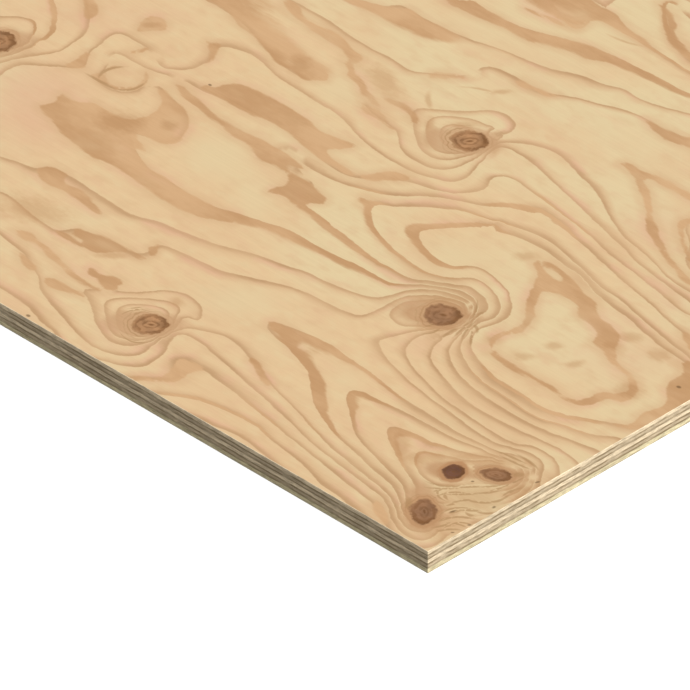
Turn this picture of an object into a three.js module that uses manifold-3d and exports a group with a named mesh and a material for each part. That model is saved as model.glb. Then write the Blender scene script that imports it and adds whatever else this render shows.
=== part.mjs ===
// Plywood sheet: five rotary-cut softwood veneers, glued crosswise and sawn to a full-size panel.
//
// Lengths are in millimetres. +X runs along the grain of the face and the two long edges, +Y runs
// along the two ends, and +Z runs up through the plies. The origin is the middle of the back, the
// side that the sheet lies on.
//
// The panel is pressed as one block, sawn square on all four sides and eased along its arrises, so
// it is modelled the same way: one eased block, which the glue lines then part into its veneers.

import * as THREE from 'three';
import { mergeVertices } from 'three/addons/utils/BufferGeometryUtils.js';
import Module from 'manifold-3d';

// The sawn panel.
const SHEET_LENGTH = 2440;
const SHEET_WIDTH = 1220;
const EASED_ARRIS = 0.4; // radius sanded onto the edges of the face and of the back

// The veneers, from the back to the face. The crossbands' grain runs along Y, the others' along X.
const BACK_PLY = 4.1;
const LOWER_CROSSBAND = 3.1;
const CENTRE_PLY = 3.9;
const UPPER_CROSSBAND = 3.1;
const FACE_PLY = 3.4;
const GLUE_LINE = 0.1; // cured resin between two veneers

// How finely the arris is rounded, and how far a cutting block stands clear of the panel.
const ARRIS_FACETS = 3;
const CUTTER_MARGIN = 5;

const VENEERS = [
  { name: 'back_ply', thickness: BACK_PLY, colour: 0xe7d9af },
  { name: 'lower_crossband', thickness: LOWER_CROSSBAND, colour: 0xcbb696 },
  { name: 'centre_ply', thickness: CENTRE_PLY, colour: 0xf0dbbb },
  { name: 'upper_crossband', thickness: UPPER_CROSSBAND, colour: 0xcfba99 },
  { name: 'face_ply', thickness: FACE_PLY, colour: 0xe4c89b },
];

const wasm = await Module();
wasm.setup();

// A closed three.js geometry as a solid that can be cut.
function toSolid(geometry) {
  const bare = geometry.clone();
  bare.deleteAttribute('normal');
  bare.deleteAttribute('uv');
  const welded = mergeVertices(bare);
  return new wasm.Manifold(new wasm.Mesh({
    numProp: 3,
    vertProperties: new Float32Array(welded.attributes.position.array),
    triVerts: new Uint32Array(welded.index.array),
  }));
}

// A solid's surface as a flat-shaded three.js geometry.
function toGeometry(solid) {
  const mesh = solid.getMesh();
  const indexed = new THREE.BufferGeometry();
  indexed.setAttribute('position', new THREE.BufferAttribute(mesh.vertProperties, mesh.numProp));
  indexed.setIndex(new THREE.BufferAttribute(mesh.triVerts, 1));
  const faceted = indexed.toNonIndexed();
  faceted.computeVertexNormals();
  return faceted;
}

// The whole panel: its sawn outline drawn up through its thickness, with rounded arrises above and
// below.
function easedPanel(thickness) {
  const outline = new THREE.Shape([
    new THREE.Vector2(-SHEET_LENGTH / 2, -SHEET_WIDTH / 2),
    new THREE.Vector2(SHEET_LENGTH / 2, -SHEET_WIDTH / 2),
    new THREE.Vector2(SHEET_LENGTH / 2, SHEET_WIDTH / 2),
    new THREE.Vector2(-SHEET_LENGTH / 2, SHEET_WIDTH / 2),
  ]);
  const panel = new THREE.ExtrudeGeometry(outline, {
    depth: thickness - 2 * EASED_ARRIS,
    bevelEnabled: true,
    bevelThickness: EASED_ARRIS,
    bevelSize: EASED_ARRIS,
    bevelOffset: -EASED_ARRIS,
    bevelSegments: ARRIS_FACETS,
  });
  return panel.translate(0, 0, EASED_ARRIS);
}

// A block that covers the panel's whole plan between two heights.
function layer(bottom, top) {
  const block = new THREE.BoxGeometry(
    SHEET_LENGTH + 2 * CUTTER_MARGIN,
    SHEET_WIDTH + 2 * CUTTER_MARGIN,
    top - bottom,
  );
  return block.translate(0, 0, (bottom + top) / 2);
}

// The heights between which each veneer lies, with a glue line between neighbours.
function layUp(veneers) {
  let height = 0;
  return veneers.map((veneer) => {
    const bottom = height;
    const top = bottom + veneer.thickness;
    height = top + GLUE_LINE;
    return { ...veneer, bottom, top };
  });
}

// One veneer: the part of the panel that lies in its layer. The outer two take in the arrises, so
// their cutting blocks run out past the back and past the face.
function veneerMesh(panel, veneer, isBack, isFace) {
  const cutFrom = isBack ? veneer.bottom - CUTTER_MARGIN : veneer.bottom;
  const cutTo = isFace ? veneer.top + CUTTER_MARGIN : veneer.top;
  const geometry = toGeometry(panel.intersect(toSolid(layer(cutFrom, cutTo))));
  geometry.translate(0, 0, -veneer.bottom);

  const wood = new THREE.MeshStandardMaterial({ color: veneer.colour, roughness: 0.75, metalness: 0 });
  const mesh = new THREE.Mesh(geometry, wood);
  mesh.name = veneer.name;
  mesh.position.z = veneer.bottom;
  return mesh;
}

const veneers = layUp(VENEERS);
const outermost = veneers.length - 1;
const panel = toSolid(easedPanel(veneers[outermost].top));

const sheet = new THREE.Group();
sheet.name = 'plywood_sheet';
veneers.forEach((veneer, index) => {
  sheet.add(veneerMesh(panel, veneer, index === 0, index === outermost));
});

export default sheet;
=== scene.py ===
"""Plywood sheet: five rotary-cut softwood veneers, glued crosswise, sawn square and sanded.

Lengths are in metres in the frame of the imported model: +X along the face grain, +Y across it and
+Z up through the plies. The figure of the face, the pattern that the growth rings make where the
veneer knife met them, is set out from the sheet's near corner in millimetres: u runs back along
the long edge and v along the end.
"""

import functools
import math

import bmesh
import bpy
import numpy as np
from bpy.props import FloatProperty, FloatVectorProperty, PointerProperty
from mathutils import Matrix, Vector


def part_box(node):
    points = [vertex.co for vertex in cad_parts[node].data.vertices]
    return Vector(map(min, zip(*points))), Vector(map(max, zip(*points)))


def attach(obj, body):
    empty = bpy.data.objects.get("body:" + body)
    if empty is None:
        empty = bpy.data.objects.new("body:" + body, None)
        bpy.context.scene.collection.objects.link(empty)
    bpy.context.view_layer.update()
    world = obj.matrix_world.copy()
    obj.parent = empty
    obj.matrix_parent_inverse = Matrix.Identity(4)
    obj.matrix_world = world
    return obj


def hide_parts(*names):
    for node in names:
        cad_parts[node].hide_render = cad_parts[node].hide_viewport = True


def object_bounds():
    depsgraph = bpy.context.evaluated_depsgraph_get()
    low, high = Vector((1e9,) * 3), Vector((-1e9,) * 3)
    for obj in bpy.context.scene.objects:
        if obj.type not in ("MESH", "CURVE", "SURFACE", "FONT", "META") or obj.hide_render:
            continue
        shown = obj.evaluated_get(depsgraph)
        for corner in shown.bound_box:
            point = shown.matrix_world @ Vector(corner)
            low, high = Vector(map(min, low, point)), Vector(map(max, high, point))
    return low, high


bl_info = {
    "name": "Plywood Sheet",
    "version": (1, 0, 0),
    "blender": (4, 5, 0),
    "location": "3D View > Sidebar > Plywood",
    "description": "Dresses a five-ply softwood sheet with its figure, edges and studio",
    "category": "Object",
}

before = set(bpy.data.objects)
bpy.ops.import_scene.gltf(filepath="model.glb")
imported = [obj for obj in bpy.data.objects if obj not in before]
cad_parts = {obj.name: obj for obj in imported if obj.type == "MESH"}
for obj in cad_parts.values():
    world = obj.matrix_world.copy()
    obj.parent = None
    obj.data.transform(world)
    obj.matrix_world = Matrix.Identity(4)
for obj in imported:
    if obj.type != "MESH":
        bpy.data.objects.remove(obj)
CAD_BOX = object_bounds()

MM = 0.001

# The sheet and its glue lines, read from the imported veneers.
SHEET_LOW, SHEET_HIGH = CAD_BOX
SHEET_LENGTH = round((SHEET_HIGH.x - SHEET_LOW.x) / MM)  # mm
SHEET_WIDTH = round((SHEET_HIGH.y - SHEET_LOW.y) / MM)  # mm
PLIES = ("back_ply", "lower_crossband", "centre_ply", "upper_crossband", "face_ply")
PLY_BOX = {name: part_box(name) for name in PLIES}

# ---------------------------------------------------------------------------------------------
# The figure of the face. A ring number grows from the valleys to the hilltops of the ring map, and
# its whole numbers are the ring borders that show as lines, sharp on the side of the next ring.
# ---------------------------------------------------------------------------------------------

TURN = 306.0  # mm of veneer peeled by one turn of the log, after which the same rings come round

RING_LINES = (
    (10, ((49, 115), (79, 112), (138, 114), (178, 120), (200, 122), (213, 123), (229, 122), (243, 120),
          (254, 117), (263, 113), (261, 107), (253, 104), (246, 102), (238, 101), (227, 98), (216, 94),
          (207, 91), (198, 85), (190, 78), (182, 71), (173, 65), (165, 61), (154, 56), (144, 52),
          (120, 47), (98, 41), (80, 38), (69, 35), (60, 31), (53, 26), (45, 21), (36, 17), (27, 14),
          (21, 17), (19, 23), (20, 30), (18, 36))),
    (9, ((57, 110), (84, 105), (118, 104), (142, 101), (155, 100), (162, 99), (167, 97), (168, 93),
          (163, 85), (155, 79), (145, 71), (133, 63), (121, 57), (89, 48), (69, 42), (62, 38), (55, 33),
          (49, 26), (42, 22), (34, 18), (28, 18), (24, 22), (23, 28), (25, 34), (25, 40))),
    (8, ((32, 111), (41, 108), (51, 105), (63, 99), (76, 95), (89, 92), (103, 90), (115, 87), (120, 83),
          (115, 76), (103, 69), (89, 60), (75, 54), (62, 48), (55, 43), (51, 38), (44, 36), (39, 41),
          (35, 44), (30, 47))),
    (7, ((16, 96), (18, 103), (25, 108), (32, 109), (40, 108), (47, 103), (52, 97), (59, 92), (66, 89),
          (74, 85), (82, 82), (86, 79), (85, 73), (80, 66), (72, 61), (63, 57), (54, 57), (47, 59),
          (42, 64), (37, 70), (32, 77), (24, 84), (18, 90))),
    (11, ((462, 55), (438, 51), (423, 44), (413, 41), (397, 29), (367, 18), (340, 10), (326, 8), (316, 9),
          (307, 12), (299, 18), (296, 25), (296, 32), (299, 44), (297, 65), (278, 77), (268, 79),
          (255, 77), (240, 72), (229, 68), (208, 60), (188, 55), (134, 39), (101, 33), (69, 28), (60, 24),
          (50, 19), (43, 13), (35, 10), (27, 8), (20, 10), (16, 16), (14, 23), (13, 29))),
    (12, ((359, 2), (369, 3), (392, 10), (416, 11))),
    (12, ((307, 2), (297, 5), (289, 11), (284, 17), (284, 23), (285, 32), (287, 40), (292, 50), (294, 60),
          (286, 62), (278, 62), (267, 60), (198, 46), (145, 33), (105, 27), (81, 24), (65, 22), (54, 16),
          (47, 11), (38, 6), (28, 2), (19, 2), (12, 4), (9, 9), (8, 14), (11, 21), (11, 26))),
    (13, ((280, 1), (259, 18), (258, 24), (274, 37), (269, 40), (247, 41), (237, 39), (218, 37),
          (128, 22), (108, 19), (64, 11), (56, 7), (46, 3))),
    (14, ((252, 2), (233, 13), (207, 19), (178, 19), (164, 16), (135, 12), (107, 4))),
    (15, ((201, 1), (192, 3), (178, 4), (164, 2))),
    (10, ((306, 71), (302, 73), (299, 78), (299, 84), (303, 90), (310, 94), (318, 96), (325, 96),
          (333, 93), (339, 89), (344, 82), (354, 71), (362, 65), (372, 58), (378, 50), (373, 46),
          (364, 42), (357, 38), (347, 30), (337, 25), (326, 21), (318, 21), (311, 24), (306, 29),
          (303, 37), (302, 48), (302, 59), (304, 65))),
    (9, ((306, 68), (311, 74), (315, 81), (321, 84), (327, 82), (333, 79), (339, 75), (344, 71),
          (352, 64), (358, 57), (358, 52), (355, 46), (346, 39), (337, 32), (330, 28), (323, 27),
          (316, 29), (308, 35), (303, 45), (302, 56), (303, 62))),
    (11, ((500, 92), (489, 93), (473, 90), (459, 88), (447, 87), (440, 87), (436, 91), (433, 96),
          (426, 100), (417, 102), (407, 105), (399, 105), (391, 105), (383, 107), (380, 109), (379, 115),
          (380, 119), (380, 123), (374, 127), (357, 129), (338, 131), (328, 132), (313, 139), (297, 146),
          (283, 152), (269, 155), (254, 156), (240, 157), (229, 160), (224, 165), (222, 176), (222, 184),
          (222, 191), (221, 197), (216, 204), (210, 211), (201, 217), (193, 220), (186, 221), (179, 218),
          (175, 212), (172, 205), (172, 195), (177, 185), (184, 176), (190, 163), (193, 155), (195, 149),
          (188, 144), (177, 139), (157, 133), (138, 129), (98, 124), (59, 121), (45, 126), (30, 129),
          (21, 128), (13, 124), (9, 118), (3, 110))),
    (12, ((529, 121), (523, 123), (515, 126), (507, 127), (502, 129), (499, 134), (494, 137), (488, 138),
          (479, 138), (460, 137), (439, 136), (419, 136), (399, 143), (384, 145), (353, 152), (327, 162),
          (303, 167), (288, 172), (275, 173), (264, 174), (251, 177), (240, 180), (232, 186), (227, 194),
          (226, 201), (223, 207), (217, 214), (209, 220), (201, 223), (192, 225), (184, 225), (177, 220),
          (172, 213), (169, 204), (169, 196), (172, 190), (177, 184), (179, 176), (179, 165), (176, 156),
          (169, 150), (155, 143), (134, 137), (119, 133), (85, 130), (50, 129), (36, 136), (17, 136),
          (10, 133), (4, 129), (-2, 124))),
    (13, ((514, 256), (481, 248), (467, 239), (458, 222), (458, 214), (486, 203), (480, 199), (472, 192),
          (450, 183), (429, 182), (399, 180), (384, 182), (369, 188), (349, 193), (330, 198), (293, 199),
          (266, 202), (250, 202), (238, 203), (231, 208), (224, 215), (215, 221), (205, 227), (196, 230),
          (186, 229), (179, 226), (173, 219), (169, 212), (167, 204), (166, 191), (165, 179), (163, 168),
          (158, 161), (148, 155), (109, 143), (78, 141), (20, 146), (3, 144))),
    (14, ((344, 227), (316, 223), (287, 219), (259, 215), (242, 215), (231, 216), (224, 222), (216, 227),
          (206, 232), (198, 237), (189, 237), (180, 235), (173, 231), (168, 226), (168, 219), (168, 213),
          (165, 206), (162, 195), (159, 185), (155, 176), (147, 169), (129, 160), (106, 155), (79, 153),
          (39, 155), (29, 158), (4, 163))),
    (15, ((30, 280), (38, 282), (58, 285), (98, 293), (117, 297), (135, 298), (168, 306), (199, 312),
          (224, 308), (248, 300), (261, 297), (282, 283), (293, 273), (302, 265), (309, 261), (309, 256),
          (302, 249), (293, 242), (281, 237), (269, 234), (258, 231), (242, 229), (228, 229), (221, 232),
          (213, 236), (204, 245), (198, 247), (190, 247), (181, 244), (173, 241), (166, 236), (161, 229),
          (159, 222), (160, 216), (161, 210), (160, 202), (157, 193), (153, 185), (143, 177), (123, 168),
          (99, 164), (88, 164), (59, 162), (39, 168), (21, 172), (6, 182))),
    (16, ((11, 270), (25, 275), (35, 276), (44, 277), (54, 277), (70, 280), (82, 282), (95, 286),
          (105, 286), (128, 290), (141, 294), (156, 298), (169, 299), (186, 302), (200, 302), (217, 300),
          (234, 294), (244, 289), (255, 276), (265, 263), (266, 258), (262, 254), (254, 250), (242, 246),
          (227, 245), (220, 248), (213, 256), (206, 258), (196, 257), (187, 255), (179, 253), (170, 249),
          (163, 243), (156, 235), (153, 228), (153, 220), (154, 214), (157, 207), (155, 199), (147, 189),
          (139, 184), (119, 177), (98, 175), (77, 173), (61, 173), (45, 179), (32, 185), (19, 192),
          (8, 198), (3, 205), (0, 211))),
    (14, ((398, 262), (381, 259), (349, 260), (310, 275), (290, 293), (279, 300), (259, 309), (239, 324),
          (199, 328), (139, 316), (99, 308), (79, 303), (59, 299))),
    (13, ((514, 256), (519, 254), (521, 249), (521, 242), (525, 235), (533, 231), (542, 231), (550, 235),
          (553, 243), (555, 250), (560, 256), (562, 263), (552, 263), (541, 263), (531, 264), (523, 267),
          (515, 268), (502, 272), (490, 272), (470, 275), (444, 278), (420, 279), (390, 276), (375, 271),
          (345, 271), (315, 294), (302, 298), (282, 306), (270, 325), (276, 335), (273, 344), (267, 347),
          (179, 335), (159, 330), (119, 324), (79, 316))),
    (12, ((598, 189), (599, 198), (597, 206), (586, 216), (575, 225), (567, 231), (565, 236), (570, 244),
          (575, 253), (576, 262), (579, 272), (579, 277), (574, 280), (567, 281), (559, 281), (550, 280),
          (542, 278), (534, 274), (526, 272), (520, 276), (513, 283), (511, 292), (510, 302), (513, 309),
          (517, 317), (508, 323), (497, 326), (482, 324), (472, 321), (452, 319), (431, 318), (401, 316),
          (370, 307), (325, 304), (300, 311), (292, 316), (289, 328), (296, 348), (299, 367), (290, 370),
          (270, 369), (158, 342), (139, 336), (84, 328))),
    (11, ((554, 351), (533, 349), (503, 341), (477, 332), (446, 331), (416, 337), (401, 338), (391, 335),
          (362, 331), (345, 318), (325, 315), (312, 318), (304, 325), (300, 346), (302, 369), (288, 383),
          (268, 389), (240, 382), (220, 377), (169, 352), (139, 346), (109, 337), (94, 336))),
    (10, ((312, 377), (308, 380), (306, 385), (308, 392), (313, 396), (321, 399), (328, 398), (336, 395),
          (344, 384), (354, 375), (364, 368), (371, 362), (371, 355), (362, 347), (353, 339), (343, 332),
          (333, 327), (324, 326), (317, 328), (310, 335), (306, 346), (305, 359), (308, 370))),
    (9, ((309, 373), (315, 379), (323, 381), (332, 380), (343, 375), (352, 368), (356, 361), (356, 355),
          (351, 348), (342, 340), (333, 335), (325, 334), (316, 338), (309, 347), (306, 358), (306, 367))),
    (11, ((524, 393), (488, 393), (457, 390), (422, 391), (407, 390), (390, 401), (375, 414), (374, 430),
          (355, 435), (326, 435), (306, 446), (285, 454), (276, 458), (259, 462), (245, 462), (237, 462),
          (231, 463), (224, 465), (216, 470))),
    (12, ((494, 425), (473, 432), (467, 441), (443, 441), (407, 444), (397, 447), (378, 452), (358, 455),
          (340, 459), (320, 468), (302, 471), (291, 476), (273, 476), (260, 479), (238, 487))),
    (13, ((444, 472), (433, 479), (423, 478), (392, 480), (337, 498), (251, 505))),
    (14, ((381, 537), (367, 536), (357, 537), (337, 530), (276, 523), (269, 524))),
    (15, ((342, 572), (336, 565), (320, 552), (302, 542), (293, 540), (279, 534))),
    (11, ((624, 296), (615, 289), (607, 282), (599, 274), (594, 268), (592, 262), (591, 256), (591, 251),
          (590, 244), (590, 237), (592, 231), (596, 223), (600, 216), (603, 212), (606, 204), (608, 198))),
    (10, ((640, 279), (629, 272), (620, 265), (613, 257), (609, 250), (607, 243), (607, 237), (607, 230),
          (608, 223), (609, 216), (610, 209), (613, 203))),
    (9, ((650, 238), (645, 243), (639, 247), (633, 251), (628, 251), (623, 248), (618, 242), (616, 236),
          (613, 232), (612, 225), (613, 218), (615, 211), (618, 207))),
    (10, ((213, 176), (216, 181), (217, 187), (216, 193), (212, 199), (207, 207), (200, 213), (192, 216),
          (186, 217), (180, 214), (175, 208), (174, 202), (174, 195), (178, 189), (185, 182), (192, 175),
          (198, 171), (205, 172))),
)

BROAD_BANDS = (
    (9.8, ((148, 113), (178, 116), (226, 113), (233, 109), (228, 105), (218, 103), (188, 89), (158, 64),
          (148, 59))),
    (8.8, ((148, 97), (161, 94), (150, 83))),
    (7.75, ((84, 87), (104, 83), (107, 79), (89, 66))),
    (13.8, ((243, 12), (235, 16), (212, 21), (183, 23))),
    (12.8, ((360, 180), (339, 188), (313, 191), (287, 194), (261, 196), (244, 199))),
    (13.8, ((339, 221), (299, 213), (259, 211))),
    (14.8, ((322, 260), (313, 252), (305, 245), (293, 238), (280, 233), (267, 229))),
    (15.75, ((238, 301), (249, 293), (260, 281), (269, 271), (278, 262), (279, 256), (274, 250),
          (264, 246), (250, 241), (235, 238), (224, 240))),
    (13.8, ((249, 323), (239, 331), (227, 336), (199, 333))),
    (10.8, ((564, 365), (544, 366), (482, 353), (447, 347))),
    (11.8, ((491, 418), (473, 421), (432, 424), (422, 428))),
    (12.8, ((448, 466), (392, 472), (377, 472), (360, 479), (331, 489), (301, 495), (261, 499))),
    (13.75, ((413, 502), (362, 506), (360, 512), (363, 521), (354, 525), (286, 521))),
    (14.75, ((340, 565), (322, 548), (299, 537))),
    (9.8, ((643, 275), (631, 268), (623, 261), (617, 254), (612, 246), (611, 240), (611, 234))),
    (15.78, ((114, 171), (97, 170), (77, 169), (59, 169), (46, 172), (35, 178))),
)

PLAIN_WOOD = (
    (13.35, 399, 215), (13.3, 430, 225), (13.3, 430, 200), (13.4, 369, 205), (13.5, 299, 208),
    (10.4, 328, 111), (10.45, 288, 114), (10.3, 348, 105), (10.5, 238, 139), (10.6, 328, 121),
    (10.4, 213, 139), (11.4, 398, 122), (11.4, 439, 128), (12.35, 530, 140), (12.3, 561, 161),
    (12.4, 520, 160), (12.3, 399, 155), (12.35, 329, 175), (16.4, 189, 269), (16.35, 214, 284),
    (16.6, 99, 223), (16.6, 69, 218), (16.6, 129, 249), (16.6, 163, 287), (10.5, 462, 362),
    (10.6, 483, 368), (11.3, 502, 332), (11.35, 548, 328), (12.35, 547, 218), (12.3, 534, 212),
    (10.5, 351, 402), (10.5, 300, 417), (11.3, 432, 408), (11.3, 473, 408), (12.3, 402, 458),
    (12.3, 453, 454), (13.3, 332, 512), (14.3, 347, 550), (14.2, 362, 545), (12.3, 456, 306),
    (12.3, 400, 304), (12.4, 350, 290), (9.4, 198, 104), (9.3, 188, 111), (8.4, 138, 91),
    (12.25, 492, 302), (10.5, 230, 385), (10.4, 250, 411), (10.5, 201, 403), (12.3, 562, 209),
    (12.25, 581, 190), (12.2, 562, 274), (13.25, 537, 249), (13.4, 518, 261), (11.4, 547, 299),
    (10.6, 616, 265), (13.4, 420, 259), (13.45, 412, 232), (13.45, 368, 227), (13.5, 358, 236),
    (10.6, 421, 81), (10.5, 384, 87), (10.6, 422, 72), (10.4, 368, 90), (12.5, 492, 178),
    (12.6, 480, 214), (10.4, 614, 270), (10.5, 603, 261), (13.45, 399, 246), (13.4, 358, 236),
    (13.3, 379, 239), (12.6, 285, 352), (10.5, 166, 387), (10.5, 136, 376), (10.6, 232, 439),
    (10.5, 208, 437), (10.5, 177, 427), (10.5, 122, 354), (16.5, 65, 265), (16.5, 33, 247),
    (16.5, 38, 201), (16.5, 155, 257), (10.5, 612, 269), (10.5, 626, 282), (9.5, 626, 258),
    (11.4, 596, 285), (14.4, 324, 245), (15.35, 288, 257), (14.3, 310, 226), (16.5, 129, 214),
    (16.45, 118, 228), (16.4, 165, 247), (16.4, 245, 266), (15.3, 299, 259), (16.6, 99, 262),
    (16.6, 145, 277), (10.5, 158, 401), (10.5, 131, 373), (10.5, 106, 348), (9.7, 227, 107),
)

# Where the ring borders die out: u, v and radius.
FADED = (
    (542, 277, 9), (558, 255, 9), (520, 254, 8), (510, 269, 8), (440, 333, 12), (428, 334, 13),
    (416, 336, 13), (406, 338, 8), (395, 260, 5), (383, 257, 7), (367, 249, 7), (352, 242, 7),
    (346, 232, 5), (374, 417, 8), (379, 523, 16), (329, 574, 8), (20, 64, 26), (9, 34, 14), (368, 61, 9),
    (396, 260, 8), (372, 368, 5), (32, 112, 9), (375, 371, 5), (388, 265, 7), (183, 222, 3),
    (177, 216, 3.4), (172, 207, 3), (29, 118, 3.6), (20, 115, 4), (11, 110, 4), (7, 102, 4),
)

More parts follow.
